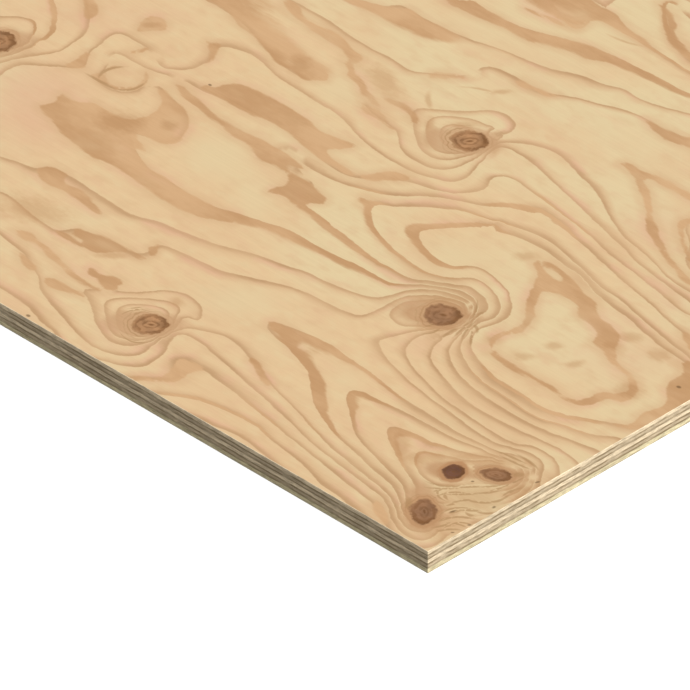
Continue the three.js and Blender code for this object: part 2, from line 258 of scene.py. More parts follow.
# Broad patches of latewood: outlines of u, v, once round.
PATCHES = (
    ((554, 181), (552, 185), (549, 194), (554, 200), (553, 203), (544, 202), (538, 203), (529, 210),
     (520, 210), (507, 210), (499, 214), (494, 223), (493, 231), (495, 239), (500, 246), (506, 249),
     (512, 253), (508, 255), (498, 252), (489, 250), (481, 248), (468, 240), (462, 231), (457, 221),
     (458, 214), (463, 209), (470, 208), (478, 207), (485, 203), (463, 195), (469, 194), (474, 193),
     (465, 188), (453, 183), (444, 182), (431, 182), (414, 180), (398, 181), (382, 182), (369, 186),
     (362, 179), (375, 170), (383, 166), (399, 163), (419, 163), (440, 165), (457, 167), (471, 167),
     (486, 165), (504, 167), (520, 170), (537, 176), (547, 178)),
    ((501, 128), (499, 133), (495, 137), (489, 137), (481, 137), (480, 132), (475, 129), (465, 131),
     (456, 130), (447, 127), (438, 124), (431, 121), (435, 119), (447, 121), (457, 122), (470, 123),
     (478, 121), (486, 121), (494, 123)),
    ((567, 352), (556, 352), (546, 352), (537, 349), (526, 345), (515, 344), (504, 341), (494, 338),
     (488, 336), (482, 333), (475, 331), (469, 332), (464, 333), (457, 332), (451, 331), (445, 334),
     (439, 341), (442, 347), (454, 349), (463, 350), (476, 353), (487, 355), (500, 357), (511, 359),
     (519, 358), (529, 362), (539, 364), (552, 367)),
    ((494, 272), (491, 279), (485, 281), (483, 289), (476, 296), (468, 298), (458, 299), (446, 300),
     (432, 300), (418, 299), (409, 298), (402, 295), (393, 295), (382, 298), (369, 300), (373, 291),
     (379, 284), (377, 280), (367, 277), (355, 277), (343, 276), (350, 272), (362, 272), (375, 272),
     (388, 274), (401, 277), (416, 279), (432, 279), (446, 276), (463, 275), (478, 275)),
    ((507, 265), (501, 267), (494, 265), (481, 263), (466, 259), (454, 258), (441, 257), (429, 259),
     (419, 260), (406, 260), (394, 260), (382, 258), (374, 257), (376, 254), (382, 252), (387, 251),
     (379, 247), (383, 245), (392, 245), (401, 242), (410, 245), (421, 249), (431, 249), (440, 250),
     (450, 253), (462, 253), (476, 256), (487, 257), (497, 260)),
    ((379, 245), (372, 247), (364, 247), (354, 245), (345, 243), (338, 241), (337, 235), (342, 231),
     (344, 224), (351, 222), (359, 224), (366, 222), (372, 219), (372, 227), (369, 232), (371, 238)),
    ((549, 254), (553, 249), (553, 244), (551, 239), (556, 232), (552, 231), (545, 230), (538, 230),
     (532, 231), (527, 235), (522, 240), (521, 245), (522, 252), (526, 258), (532, 262), (527, 254),
     (524, 249), (524, 244), (527, 239), (532, 235), (538, 233), (543, 234), (547, 237), (550, 242),
     (550, 247), (548, 251)),
    ((625, 293), (618, 288), (607, 277), (604, 279), (603, 282), (606, 288), (609, 292), (615, 295),
     (621, 297)),
    ((577, 229), (575, 235), (576, 241), (577, 248), (575, 250), (570, 243), (566, 237), (565, 233),
     (569, 230), (575, 227)),
    ((571, 291), (574, 296), (577, 302), (577, 309), (574, 313), (569, 314), (564, 312), (560, 308),
     (559, 303), (564, 301), (566, 296)),
    ((529, 316), (525, 317), (519, 321), (517, 316), (515, 312), (511, 306), (509, 301), (511, 297),
     (513, 303), (519, 309)),
    ((558, 269), (554, 274), (553, 280), (550, 284), (550, 278), (552, 273), (556, 268)),
    ((526, 387), (522, 391), (513, 389), (506, 385), (498, 383), (489, 383), (480, 384), (473, 385),
     (466, 384), (461, 382), (453, 379), (446, 378), (439, 376), (438, 371), (443, 369), (450, 371),
     (459, 375), (465, 375), (473, 375), (481, 376), (488, 376), (498, 378), (507, 379), (517, 382)),
    ((446, 365), (442, 368), (437, 365), (431, 360), (426, 360), (417, 356), (408, 351), (401, 349),
     (393, 345), (387, 342), (391, 341), (399, 344), (405, 346), (410, 346), (418, 351), (428, 355),
     (433, 355), (436, 360)),
    ((396, 353), (388, 357), (380, 359), (372, 357), (365, 354), (358, 348), (361, 346), (371, 352),
     (381, 353), (389, 352)),
    ((402, 339), (398, 338), (391, 339), (384, 339), (375, 335), (365, 332), (373, 331), (381, 333),
     (388, 332), (395, 332)),
    ((493, 424), (486, 426), (478, 428), (469, 431), (464, 437), (458, 441), (449, 440), (441, 439),
     (430, 441), (418, 441), (409, 442), (414, 437), (421, 432), (428, 426), (439, 424), (449, 422),
     (460, 421), (474, 421), (483, 421)),
    ((449, 470), (433, 474), (422, 477), (409, 478), (394, 477), (383, 480), (372, 484), (362, 488),
     (352, 493), (341, 497), (333, 498), (321, 498), (310, 498), (317, 493), (324, 489), (331, 484),
     (343, 483), (354, 480), (364, 477), (374, 472), (386, 472), (397, 471), (409, 469), (422, 467),
     (434, 466), (446, 465)),
    ((414, 505), (404, 507), (394, 511), (384, 511), (377, 507), (369, 504), (362, 504), (360, 510),
     (362, 517), (358, 523), (350, 524), (340, 524), (328, 524), (315, 524), (308, 523), (319, 528),
     (329, 529), (338, 530), (349, 533), (359, 536), (367, 535), (374, 535), (382, 537)),
    ((406, 497), (401, 499), (392, 500), (383, 502), (375, 503), (367, 503), (372, 501), (382, 499),
     (392, 497), (401, 496)),
    ((344, 566), (337, 566), (327, 562), (318, 556), (310, 547), (300, 543), (289, 540), (282, 539),
     (284, 533), (294, 535), (304, 537), (312, 541), (318, 547), (324, 555), (333, 559)),
    ((348, 432), (346, 435), (338, 435), (329, 436), (320, 437), (314, 439), (319, 433), (328, 432),
     (337, 430), (343, 429)),
    ((433, 96), (430, 99), (425, 99), (417, 102), (407, 105), (399, 105), (391, 105), (385, 106),
     (392, 99), (398, 92), (403, 87), (410, 86), (415, 87), (419, 91), (425, 91), (430, 92)),
    ((440, 87), (433, 89), (425, 88), (416, 88), (412, 85), (419, 84), (428, 84), (436, 84)),
    ((390, 104), (384, 106), (378, 106), (372, 105), (375, 102), (381, 102)),
    ((461, 66), (456, 69), (450, 72), (442, 70), (432, 69), (421, 66), (411, 63), (400, 61), (389, 59),
     (378, 58), (369, 58), (369, 55), (379, 55), (389, 55), (398, 56), (409, 59), (421, 61), (431, 64),
     (441, 65), (447, 64), (453, 64)),
    ((393, 72), (391, 73), (385, 71), (378, 73), (373, 76), (367, 77), (364, 75), (365, 71), (362, 66),
     (366, 62), (370, 61), (375, 64), (382, 66), (387, 65), (392, 69)),
    ((439, 52), (432, 50), (425, 48), (417, 46), (418, 42), (424, 42), (430, 44), (435, 47)),
    ((381, 115), (381, 120), (380, 124), (376, 120), (374, 115), (373, 110), (376, 111)),
    ((140, 198), (144, 204), (145, 211), (144, 216), (142, 220), (141, 225), (142, 231), (146, 238),
     (151, 244), (157, 250), (161, 256), (164, 261), (167, 267), (171, 273), (175, 280), (181, 284),
     (187, 287), (187, 291), (184, 291), (178, 287), (171, 284), (164, 283), (158, 284), (157, 286),
     (162, 289), (167, 290), (174, 290), (178, 288), (183, 292), (181, 294), (175, 295), (169, 294),
     (161, 293), (153, 291), (144, 288), (137, 285), (130, 284), (124, 282), (119, 278), (112, 274),
     (105, 272), (99, 272), (93, 270), (87, 268), (83, 265), (80, 258), (76, 254), (72, 250), (67, 245),
     (61, 242), (54, 241), (49, 240), (42, 238), (36, 234), (32, 229), (29, 223), (29, 219), (31, 214),
     (37, 212), (40, 209), (42, 204), (43, 198), (46, 193), (51, 190), (57, 188), (65, 189), (72, 190),
     (79, 190), (86, 189), (93, 189), (100, 188), (107, 188), (113, 188), (121, 189), (129, 191),
     (135, 193), (133, 196), (128, 194), (120, 193), (113, 193), (106, 192), (99, 193), (92, 193),
     (84, 193), (78, 194), (71, 193), (64, 191), (57, 192), (53, 194), (50, 199), (49, 204), (49, 210),
     (46, 214), (41, 217), (38, 221), (37, 226), (41, 231), (46, 235), (52, 238), (59, 239), (66, 240),
     (73, 243), (79, 246), (85, 248), (90, 248), (94, 249), (95, 253), (95, 256), (100, 260), (107, 262),
     (114, 263), (120, 264), (124, 265), (127, 269), (130, 272), (137, 273), (144, 273), (151, 273),
     (156, 270), (159, 266), (157, 262), (153, 256), (150, 250), (145, 246), (141, 241), (139, 237),
     (137, 232), (136, 226), (136, 220), (140, 216), (141, 210), (141, 205), (139, 200), (137, 197)),
    ((18, 192), (13, 194), (9, 198), (8, 203), (11, 211), (11, 217), (9, 223), (8, 231), (10, 236),
     (15, 241), (20, 246), (24, 253), (25, 261), (24, 265), (29, 271), (35, 276), (32, 280), (24, 279),
     (12, 269), (-1, 253), (-1, 245), (-1, 235), (-1, 224), (-1, 211), (0, 200), (6, 195), (14, 191)),
    ((229, 412), (226, 416), (220, 416), (213, 415), (207, 417), (202, 419), (195, 419), (187, 420),
     (179, 419), (168, 419), (160, 418), (163, 414), (171, 414), (179, 415), (187, 414), (195, 414),
     (202, 413), (204, 410), (199, 406), (193, 403), (185, 397), (178, 391), (171, 384), (163, 378),
     (156, 375), (149, 368), (140, 364), (130, 358), (120, 354), (109, 350), (100, 347), (92, 345),
     (93, 342), (103, 344), (114, 348), (124, 351), (134, 356), (145, 361), (155, 366), (163, 370),
     (171, 379), (180, 387), (189, 394), (199, 400), (207, 405), (215, 409), (223, 411)),
    ((150, 388), (152, 392), (151, 396), (149, 400), (146, 404), (143, 401), (145, 396), (146, 392),
     (145, 387), (138, 381), (130, 375), (122, 370), (114, 365), (104, 360), (109, 360), (118, 364),
     (127, 370), (136, 376), (143, 382)),
    ((254, 461), (245, 462), (236, 462), (229, 463), (222, 464), (217, 467), (212, 471), (201, 460),
     (208, 458), (215, 457), (221, 455), (227, 454), (234, 455), (243, 456)),
    ((60, 301), (54, 302), (46, 300), (36, 291), (40, 289), (47, 292), (54, 296)),
    ((405, 40), (402, 45), (396, 46), (388, 46), (382, 46), (376, 48), (371, 46), (374, 44), (380, 42),
     (387, 39), (392, 37), (398, 36)),
    ((283, 4), (278, 8), (272, 12), (268, 16), (268, 22), (271, 30), (274, 36), (275, 41), (271, 42),
     (265, 43), (259, 43), (253, 43), (255, 39), (258, 36), (258, 32), (257, 26), (257, 20), (261, 15),
     (267, 10), (273, 5), (279, 1)),
    ((242, 75), (235, 74), (227, 71), (220, 66), (211, 62), (209, 58), (215, 59), (224, 63), (233, 68),
     (240, 71)),
    ((346, 275), (340, 280), (336, 287), (333, 292), (327, 297), (321, 299), (316, 299), (317, 293),
     (324, 287), (330, 280), (337, 276)),
    ((395, 396), (392, 401), (386, 405), (380, 408), (374, 409), (379, 404), (383, 399), (387, 395),
     (392, 393)),
    ((58, 16), (63, 18), (67, 16), (63, 11), (55, 6), (46, 3), (41, 2), (45, 8), (52, 12)),
    ((263, 112), (260, 115), (250, 117), (241, 117), (236, 113), (233, 107), (222, 100), (224, 98),
     (235, 102), (248, 106), (256, 107)),
)

# Short latewood lines beside the knots: u, v, half length, half width, tilt in degrees, and how far
# the ends bend aside, in half widths.
STREAKS = (
    (44, 62, 12.7, 1.2, -39, 2.6), (44, 58, 9.6, 1, -43, 0.8), (33, 72, 10.7, 1.1, -49, -0.5),
    (23, 83, 8.4, 1, -54, 0.7), (45, 55, 3.6, 1.2, -71, -0.3), (30, 63, 11, 1.1, -48, 0.5),
    (19, 77, 8.5, 1.1, -58, 1.2), (18, 84, 6.9, 1, -71, -0.3), (37, 53, 4.5, 1.3, 40, 0.8),
    (25, 58, 6.8, 1.1, -57, -0.7), (16, 64, 8.4, 1.2, -34, 1.1), (8, 75, 8.2, 1.3, -74, 1.8),
    (10, 87, 8, 1.3, -86, -1), (27, 50, 4.7, 0.9, -73, 0.6), (20, 44, 5.2, 1.2, -65, 0.2),
    (14, 53, 8.3, 1.2, -41, -0.7), (4, 58, 6.3, 1.2, -39, 1.4), (18, 36, 6.8, 1.1, -68, -1.2),
    (12, 44, 7.7, 1.1, -37, -1.2), (14, 28, 5.5, 1, -72, 0.6), (9, 36, 7, 0.9, -26, -1.6),
    (12, 29, 5.6, 0.8, -64, -1.6), (8, 28, 7, 1.2, -51, -1), (10, 49, 3.2, 1.4, -22, 1.1),
    (39, 116, 10.8, 0.9, -9, 0), (31, 113, 11.2, 1, -7, 0.5), (26, 121, 11.4, 1, 6, -1),
    (37, 59, 11.8, 0.9, -54, -4.4), (23, 47, 11.6, 0.9, -64, -4.9), (14, 42, 11.7, 0.9, -51, -3.8),
    (16, 95, 10.3, 0.9, -83, 0.5), (8, 39, 9.6, 0.9, -45, -5.1), (42, 51, 7.4, 0.9, 36, 3.4),
    (174, 219, 11.9, 0.8, 56, -1.4), (166, 199, 11.4, 1.1, 77, 0.2), (170, 218, 4.7, 0.9, 82, 1.1),
    (163, 200, 11.1, 1, 69, 1.2), (160, 206, 5.2, 1.2, 24, -1.3), (154, 195, 8.8, 0.9, 49, 0),
    (169, 190, 7.1, 1.3, 89, 0.4), (177, 181, 5.9, 0.9, -75, 1.5), (182, 190, 8.3, 0.9, -55, -2.2),
    (336, 59, 9, 0.7, -54, -4.2), (338, 60, 4.6, 0.6, -55, 0), (309, 32, 10, 0.7, -29, 6.6),
    (20, 105, 3.7, 2.6, -33, 0), (48, 30, 6.5, 2.2, 43, 0.1), (544, 231, 11.9, 1.4, -2, 0.3),
    (524, 239, 11.6, 1.2, -62, 4.2), (552, 244, 9.8, 1.3, -85, -2.5),
)

# Knots: u, v, half length, half width, tilt in degrees, darkness from 0 to 1.
KNOTS = (
    (317, 54, 13.4, 12.0, -40, 0.10),
    (319, 358, 13.7, 12.2, -38, 0.10),
    (187, 200, 13.6, 12.4, -30, 0.42),
    (629, 216, 13.0, 13.4, -45, 0.20),
    (34, 30, 15.0, 9.5, 42, 0.56),
    (53, 77, 8.2, 8.5, -30, 1.00),
    (30, 95, 11.4, 7.8, -28, 0.52),
)

# Resin flecks and small bark pockets: like the streaks.
FLECKS = (
    (21, 44, 2.4, 0.9, -70, 0), (5, 67, 1.2, 1.5, 0, 0), (2, 41, 1.3, 0.9, -45, 0),
    (36, 78, 1.1, 0.8, -45, 0), (5, 108, 1.8, 0.9, -70, 0), (4, 27, 1.2, 0.6, -45, 0),
    (382, 3, 1.5, 1.1, 0, 0), (16, 253, 1.6, 1.2, 0, 0), (490, 281, 1.2, 0.9, 0, 0),
)

# Faint, soft-edged smudges, which also deepen the broad bands that they lie on: like the streaks.
SMUDGES = (
    (59, 70, 8.5, 5.5, 45, 0), (196, 289, 8.0, 5.0, -45, 0), (115, 204, 8.5, 4.0, -30, 0.3),
    (84, 222, 7.0, 4.0, -60, 0.3), (109, 228, 6.0, 4.0, -45, 0), (80, 271, 8.0, 5.0, -35, 0),
    (51, 270, 8.0, 6.5, -45, 0.4), (393, 92, 9.0, 3.5, -45, 0), (411, 368, 22.0, 9.0, 18, 0),
    (345, 415, 8.0, 2.6, -50, 0), (358, 407, 11.3, 1.2, -28, -0.9), (328, 517, 11.9, 1.2, -15, 0.9),
    (372, 372, 10.0, 2.0, 39, 0.7), (100, 75, 17.0, 6.0, 42, 0), (78, 74, 15.0, 8.0, -45, 0),
    (323, 84, 6.5, 5.0, 45, 0), (350, 352, 9.0, 3.5, 45, 0), (303, 366, 11.0, 3.5, 45, 0),
    (22, 66, 25.0, 16.0, -45, 0), (6, 92, 14.0, 14.0, -45, 0), (14, 30, 14.0, 14.0, -45, 0),
    (334, 44, 12.0, 5.0, 45, 0), (342, 345, 14.0, 4.0, 45, 0), (336, 368, 10.0, 4.0, -45, 0),
    (204, 188, 10.0, 5.0, 45, 0), (202, 210, 20.0, 4.0, -45, 0), (178, 187, 14.0, 4.0, -45, 0),
    (40, 105, 22.0, 6.0, -45, 0), (43, 84, 7.0, 6.0, -45, 0), (20, 105, 7.0, 6.0, -45, 0),
    (59, 71, 5.0, 4.0, -45, 0), (34, 31, 17.5, 12.0, 42, 0), (37, 227, 10.0, 9.0, -45, 0),
    (82, 256, 9.0, 6.0, 0, 0), (570, 302, 7.0, 4.0, -45, 0), (475, 228, 6.0, 5.0, 0, 0),
    (470, 91, 26.0, 14.0, -20, 0), (30, 48, 7.0, 6.0, 45, 0), (56, 98, 18.0, 5.0, -45, 0),
    (502, 207, 15.0, 13.0, -45, 0), (464, 341, 8.0, 10.0, -45, 0),
)

# Clouds of pinker (last number above 0) or more straw-coloured wood: u, v, half length, half width,
# tilt in degrees, strength.
CLOUDS = (
    (554, 183, 37, 56, -45, 0.95), (600, 289, 74, 21, -45, 0.45), (312, 362, 20, 19, -45, 0.6),
    (160, 376, 27, 23, -45, 0.5), (169, 173, 26, 19, -45, 0.6), (63, 254, 47, 33, -45, 0.45),
    (158, 254, 15, 21, -45, 0.5), (90, 322, 14, 19, -45, 0.5), (385, 493, 74, 33, -45, -1),
    (332, 482, 37, 23, -45, -0.6), (425, 341, 26, 30, -45, -0.8), (427, 226, 26, 30, -45, -1),
    (371, 206, 17, 33, -45, -0.8), (242, 437, 41, 28, -45, -0.6), (440, 101, 32, 23, -45, -0.6),
    (295, 116, 34, 23, -45, -0.8), (238, 107, 26, 23, -45, -0.6), (230, 251, 24, 23, -45, -0.8),
    (298, 280, 27, 28, -45, -0.6), (93, 118, 23, 16, -45, -0.55), (168, 307, 16, 19, -45, -0.4),
    (179, 101, 15, 19, -45, -0.5),
)

# Where the drawn lines stop: past these, the log's next turn supplies the same rings again.
DRAWN_REACH = 905.0  # mm, u + v
DRAWN_LEAD = 246.0  # mm, v - u
DRAWN_MARGIN = 18.0  # mm left free, so that the two sets of lines can meet smoothly
RESAMPLING = 9.0  # mm between the points taken along a drawn line
CROWDING = 1.5  # mm, the side of a square in which only one point is kept
SMOOTHING = 2e-4  # how far the ring map may miss a point, to stay smooth between crowded lines
MAP_UNIT = 100.0  # mm, keeps the equations well scaled
MAP_BATCH = 4096  # places that the ring map is worked out for at a time
BAND_REACH = (9.0, 20.0)  # mm from its line, over which a broad band gives way
BAND_BATCH = 64  # points of the bands that are measured from at a time
FADED_CORE = 0.55  # share of a faded spot's radius within which no border shows
PATCH_RESAMPLING = 4.0  # mm between the points taken along a patch's outline
PATCH_REACH = 20.0  # mm, how far out the distance from a patch is followed

# The rest of the sheet is filled with further lengths of the same log.
LOG_LENGTH = 700.0  # mm of sheet that one length covers
JOINING = 140.0  # mm over which two lengths, or two turns, run into each other
TURN_START = 560.0  # mm, v at which the second turn gives way to the third
TURNS = 6  # turns of the log that a sheet can take in
FACE_LENGTHS = (  # turned end for end, turned over across, shift across in mm
    (False, False, 0.0),
    (True, False, 137.0),
    (True, True, 1290.0),
    (True, False, 422.0),
)
BACK_LENGTHS = (
    (True, True, 1325.0),
    (False, False, 212.0),
    (True, False, 64.0),
    (False, True, 1420.0),
)
SPOT_MARGIN = 20.0  # mm past the sheet's sides, up to which knots and marks still count
SPOT_SCALES = (0.7, 1.05)  # the size of a repeated knot or mark, against the drawn one
REPEAT_TONE = 0.2  # how far a repeated knot's darkness or a repeated cloud's strength may change


# ---------------------------------------------------------------------------------------------
# Settings
# ---------------------------------------------------------------------------------------------


def srgb(red, green, blue):
    """A colour given in screen values from 11 to 255, as the linear colour that shaders take.

    Each value c becomes ((c / 255 + 0.055) / 1.055)^2.4. Darker ones would need another formula.
    """
    return tuple(((value / 255 + 0.055) / 1.055) ** 2.4 for value in (red, green, blue))


def colour(name, description, red, green, blue):
    """A colour setting whose default is given in screen values."""
    return FloatVectorProperty(
        name=name, description=description, subtype="COLOR", size=3, min=0.0, max=1.0,
        default=srgb(red, green, blue),
    )


def length(name, description, metres):
    """A length setting."""
    return FloatProperty(name=name, description=description, unit="LENGTH", default=metres, min=0.0)


class FigureSettings(bpy.types.PropertyGroup):
    """How finely the veneers are meshed, and how their growth rings show."""

    near_step: length("Near Step", "Mesh spacing over the near corner", 0.0032)
    far_step: length("Far Step", "Mesh spacing over the rest of the sheet", 0.014)
    near_length: length("Near Length", "How far the fine mesh runs along the sheet", 0.67)
    near_width: length("Near Width", "How far the fine mesh runs across the sheet", 0.60)
    rim_step: length("Rim Step", "Mesh spacing along the inner plies' edges near the corner", 0.002)
    rim_reach: length("Rim Reach", "How far that spacing runs from the near corner", 0.45)
    back_step: length("Back Step", "Mesh spacing over the back", 0.010)
    line_width: length("Line Width", "Width of a thin latewood line", 0.0030)
    line_waver: length("Line Waver", "How far the ring borders waver", 0.0006)


class VeneerColours(bpy.types.PropertyGroup):
    """Colours of the face and the back."""

    earlywood: colour("Earlywood", "Pale wood between the lines", 234, 201, 155)
    blush: colour("Blush", "Pinkish earlywood", 231, 195, 150)
    straw: colour("Straw", "Yellowish earlywood", 233, 209, 163)
    fringe: colour("Fringe", "Warm wood that leads up to a line or a patch", 221, 182, 138)
    latewood: colour("Latewood", "Broad latewood bands", 220, 177, 131)
    deep_latewood: colour("Deep Latewood", "The darker parts of broad bands", 200, 154, 108)
    line: colour("Line", "Thin latewood lines", 199, 159, 116)
    streak: colour("Streak", "Short lines beside the knots", 181, 141, 96)
    flush: colour("Flush", "Pink wood, in clouds and beside some of the lines", 229, 180, 145)
    knot: colour("Knot", "Light knot wood", 192, 144, 101)
    knot_rim: colour("Knot Rim", "The dark rim, tip and pith of a knot", 120, 78, 38)
    dark_knot: colour("Dark Knot", "Darkest knot wood", 118, 80, 61)
    knot_halo: colour("Knot Halo", "Stained wood round a knot", 208, 166, 124)
    fleck: colour("Fleck", "Resin flecks", 112, 84, 52)


class EdgeColours(bpy.types.PropertyGroup):
    """Colours of the sawn edges."""

    pale_edge: colour("Pale Edge", "Sawn edge of the face and centre plies", 234, 213, 179)
    back_edge: colour("Back Edge", "Sawn edge of the back ply, a yellower veneer", 222, 208, 168)
    crossband: colour("Crossband", "Sawn edge of the crossbands", 201, 181, 150)
    # The glue colour is also laid as painted shade along the foot of the back ply's edge.
    glue: colour("Glue", "Cured glue line", 140, 119, 88)
    streak: colour("Streak", "Dark latewood streak on a sawn edge", 172, 150, 117)


class StageSettings(bpy.types.PropertyGroup):
    """Floor, main lamp and the light from all round."""

    floor_size: length("Floor Size", "Side of the square floor", 60.0)
    floor: colour("Floor", "Colour that the floor throws back on the sheet", 140, 140, 138)
    key_strength: FloatProperty(name="Key Strength", description="Strength of the main lamp", default=3.83)
    sky_strength: FloatProperty(name="Sky Strength", description="Light from all round", default=0.2)


# ---------------------------------------------------------------------------------------------
# Ring map
# ---------------------------------------------------------------------------------------------


def smooth_step(low, high, value):
    """0 below low and 1 above high, 3t^2 - 2t^3 between them."""
    t = np.clip((value - low) / (high - low), 0.0, 1.0)
    return t * t * (3.0 - 2.0 * t)


def drawn_curve(points, step):
    """Points at an even step along the smooth curve through the given ones.

    Each span is the cubic Hermite curve p(t) between its ends, whose slope at an inner point is
    that of the chord from the point before to the point after.
    """
    points = np.array(points, float)
    if len(points) == 1:
        return points
    spans = np.hypot(*np.diff(points, axis=0).T)
    reach = np.concatenate(([0.0], np.cumsum(spans)))
    slopes = np.gradient(points, reach, axis=0, edge_order=1)
    slopes[1:-1] = (points[2:] - points[:-2]) / (reach[2:] - reach[:-2])[:, None]
    at = np.linspace(0.0, reach[-1], max(2, round(reach[-1] / step) + 1))
    span = np.clip(np.searchsorted(reach, at, side="right") - 1, 0, len(spans) - 1)
    long = spans[span][:, None]
    t = (at - reach[span])[:, None] / long
    return (
        (2 * t**3 - 3 * t**2 + 1) * points[span]
        + (t**3 - 2 * t**2 + t) * long * slopes[span]
        + (3 * t**2 - 2 * t**3) * points[span + 1]
        + (t**3 - t**2) * long * slopes[span + 1]
    )


def beyond_drawing(u, v):
    """Whether u, v lies past the drawn lines."""
    return (u + v > DRAWN_REACH + DRAWN_MARGIN) | (v - u > DRAWN_LEAD + DRAWN_MARGIN)


def next_turn(points):
    """The points one turn of the log further on, where they lie past the drawn lines."""
    points = points + (0.0, TURN)
    return points[beyond_drawing(*points.T)]


def bending(squared):
    """The thin plate's influence at a squared distance: d^2 log d."""
    return 0.5 * squared * np.log(squared + 1e-12)


class RingMap:
    """A thin plate bent through the drawn lines: r(p) = sum w_i |p - c_i|^2 log|p - c_i| + a + b.p"""

    def __init__(self):
        lines = [(ring, drawn_curve(points, RESAMPLING)) for ring, points in RING_LINES + BROAD_BANDS]
        lines += [(ring, np.array([(u, v)], float)) for ring, u, v in PLAIN_WOOD]
        lines += [(ring, next_turn(points)) for ring, points in lines]
        centres = np.concatenate([points for _, points in lines]) / MAP_UNIT
        rings = np.concatenate([np.full(len(points), float(ring)) for ring, points in lines])
        centres, rings = self.thinned(centres, rings)
        count = len(centres)
        plate = np.zeros((count + 3, count + 3))
        plate[:count, :count] = bending(((centres[:, None] - centres[None]) ** 2).sum(-1))
        plate[np.arange(count), np.arange(count)] += SMOOTHING
        plate[:count, count] = plate[count, :count] = 1.0
        plate[:count, count + 1:] = centres
        plate[count + 1:, :count] = centres.T
        self.centres = centres
        self.weights = np.linalg.solve(plate, np.concatenate((rings, np.zeros(3))))
        bands = [drawn_curve(points, RESAMPLING) for _, points in BROAD_BANDS]
        self.bands = np.concatenate(bands + [next_turn(points) for points in bands])
        faded = [(u, v + TURN, radius) for u, v, radius in FADED if beyond_drawing(u, v + TURN)]
        self.faded = FADED + tuple(faded)
        outlines = [drawn_curve(points + points[:1], PATCH_RESAMPLING) for points in PATCHES]
        whole = [points for points in outlines if len(next_turn(points)) == len(points)]
        self.outlines = outlines + [next_turn(points) for points in whole]

    @staticmethod
    def thinned(centres, rings):
        """The points without those that share a small square with an earlier one."""
        cell = np.round(centres * MAP_UNIT / CROWDING).astype(int)
        _, kept = np.unique(cell, axis=0, return_index=True)
        return centres[kept], rings[kept]

    def height(self, u, v):
        """The ring number at u, v."""
        places = np.stack((u, v), -1) / MAP_UNIT
        count = len(self.centres)
        rings = self.weights[count] + places @ self.weights[count + 1:]
        for start in range(0, len(places), MAP_BATCH):
            part = places[start:start + MAP_BATCH]
            squared = (part[:, :1] - self.centres[:, 0]) ** 2 + (part[:, 1:] - self.centres[:, 1]) ** 2
            rings[start:start + MAP_BATCH] += bending(squared) @ self.weights[:count]
        return rings

    def broadness(self, u, v):
        """1 on the soft side of a broad latewood band, fading to 0 away from it."""
        nearest = np.full(len(u), np.inf)
        for start in range(0, len(self.bands), BAND_BATCH):
            part = self.bands[start:start + BAND_BATCH]
            squared = (u[:, None] - part[:, 0]) ** 2 + (v[:, None] - part[:, 1]) ** 2
            nearest = np.minimum(nearest, squared.min(axis=1))
        return 1.0 - smooth_step(*BAND_REACH, np.sqrt(nearest))

    def line_share(self, u, v):
        """1 where the ring borders show, down to 0 where they die out."""
        share = np.ones(len(u))
        for spot_u, spot_v, radius in self.faded:
            share *= smooth_step(FADED_CORE * radius, radius, np.hypot(u - spot_u, v - spot_v))
        return share

    def patch_depth(self, u, v):
        """How far inside a broad patch each u, v lies, in mm; below 0 outside, down to -PATCH_REACH.

        The distance is that to the nearest side of the outline, and a point is inside when a line
        from it towards +u crosses an odd number of sides.
        """
        depth = np.full(len(u), -PATCH_REACH)
        for outline in self.outlines:
            low, high = outline.min(axis=0) - PATCH_REACH, outline.max(axis=0) + PATCH_REACH
            near = np.flatnonzero((u > low[0]) & (u < high[0]) & (v > low[1]) & (v < high[1]))
            start, side = outline[:-1], np.diff(outline, axis=0)
            from_u, from_v = u[near, None] - start[:, 0], v[near, None] - start[:, 1]
            t = (from_u * side[:, 0] + from_v * side[:, 1]) / (side**2).sum(axis=1)
            t = np.clip(t, 0.0, 1.0)
            away = np.hypot(from_u - t * side[:, 0], from_v - t * side[:, 1]).min(axis=1)
            spans = (from_v < 0.0) != (from_v < side[:, 1])
            rise = np.where(side[:, 1] == 0.0, 1.0, side[:, 1])
            crossed = spans & (from_u < from_v / rise * side[:, 0])
            inside = crossed.sum(axis=1) % 2 == 1
            depth[near] = np.maximum(depth[near], np.where(inside, away, -away))
        return depth


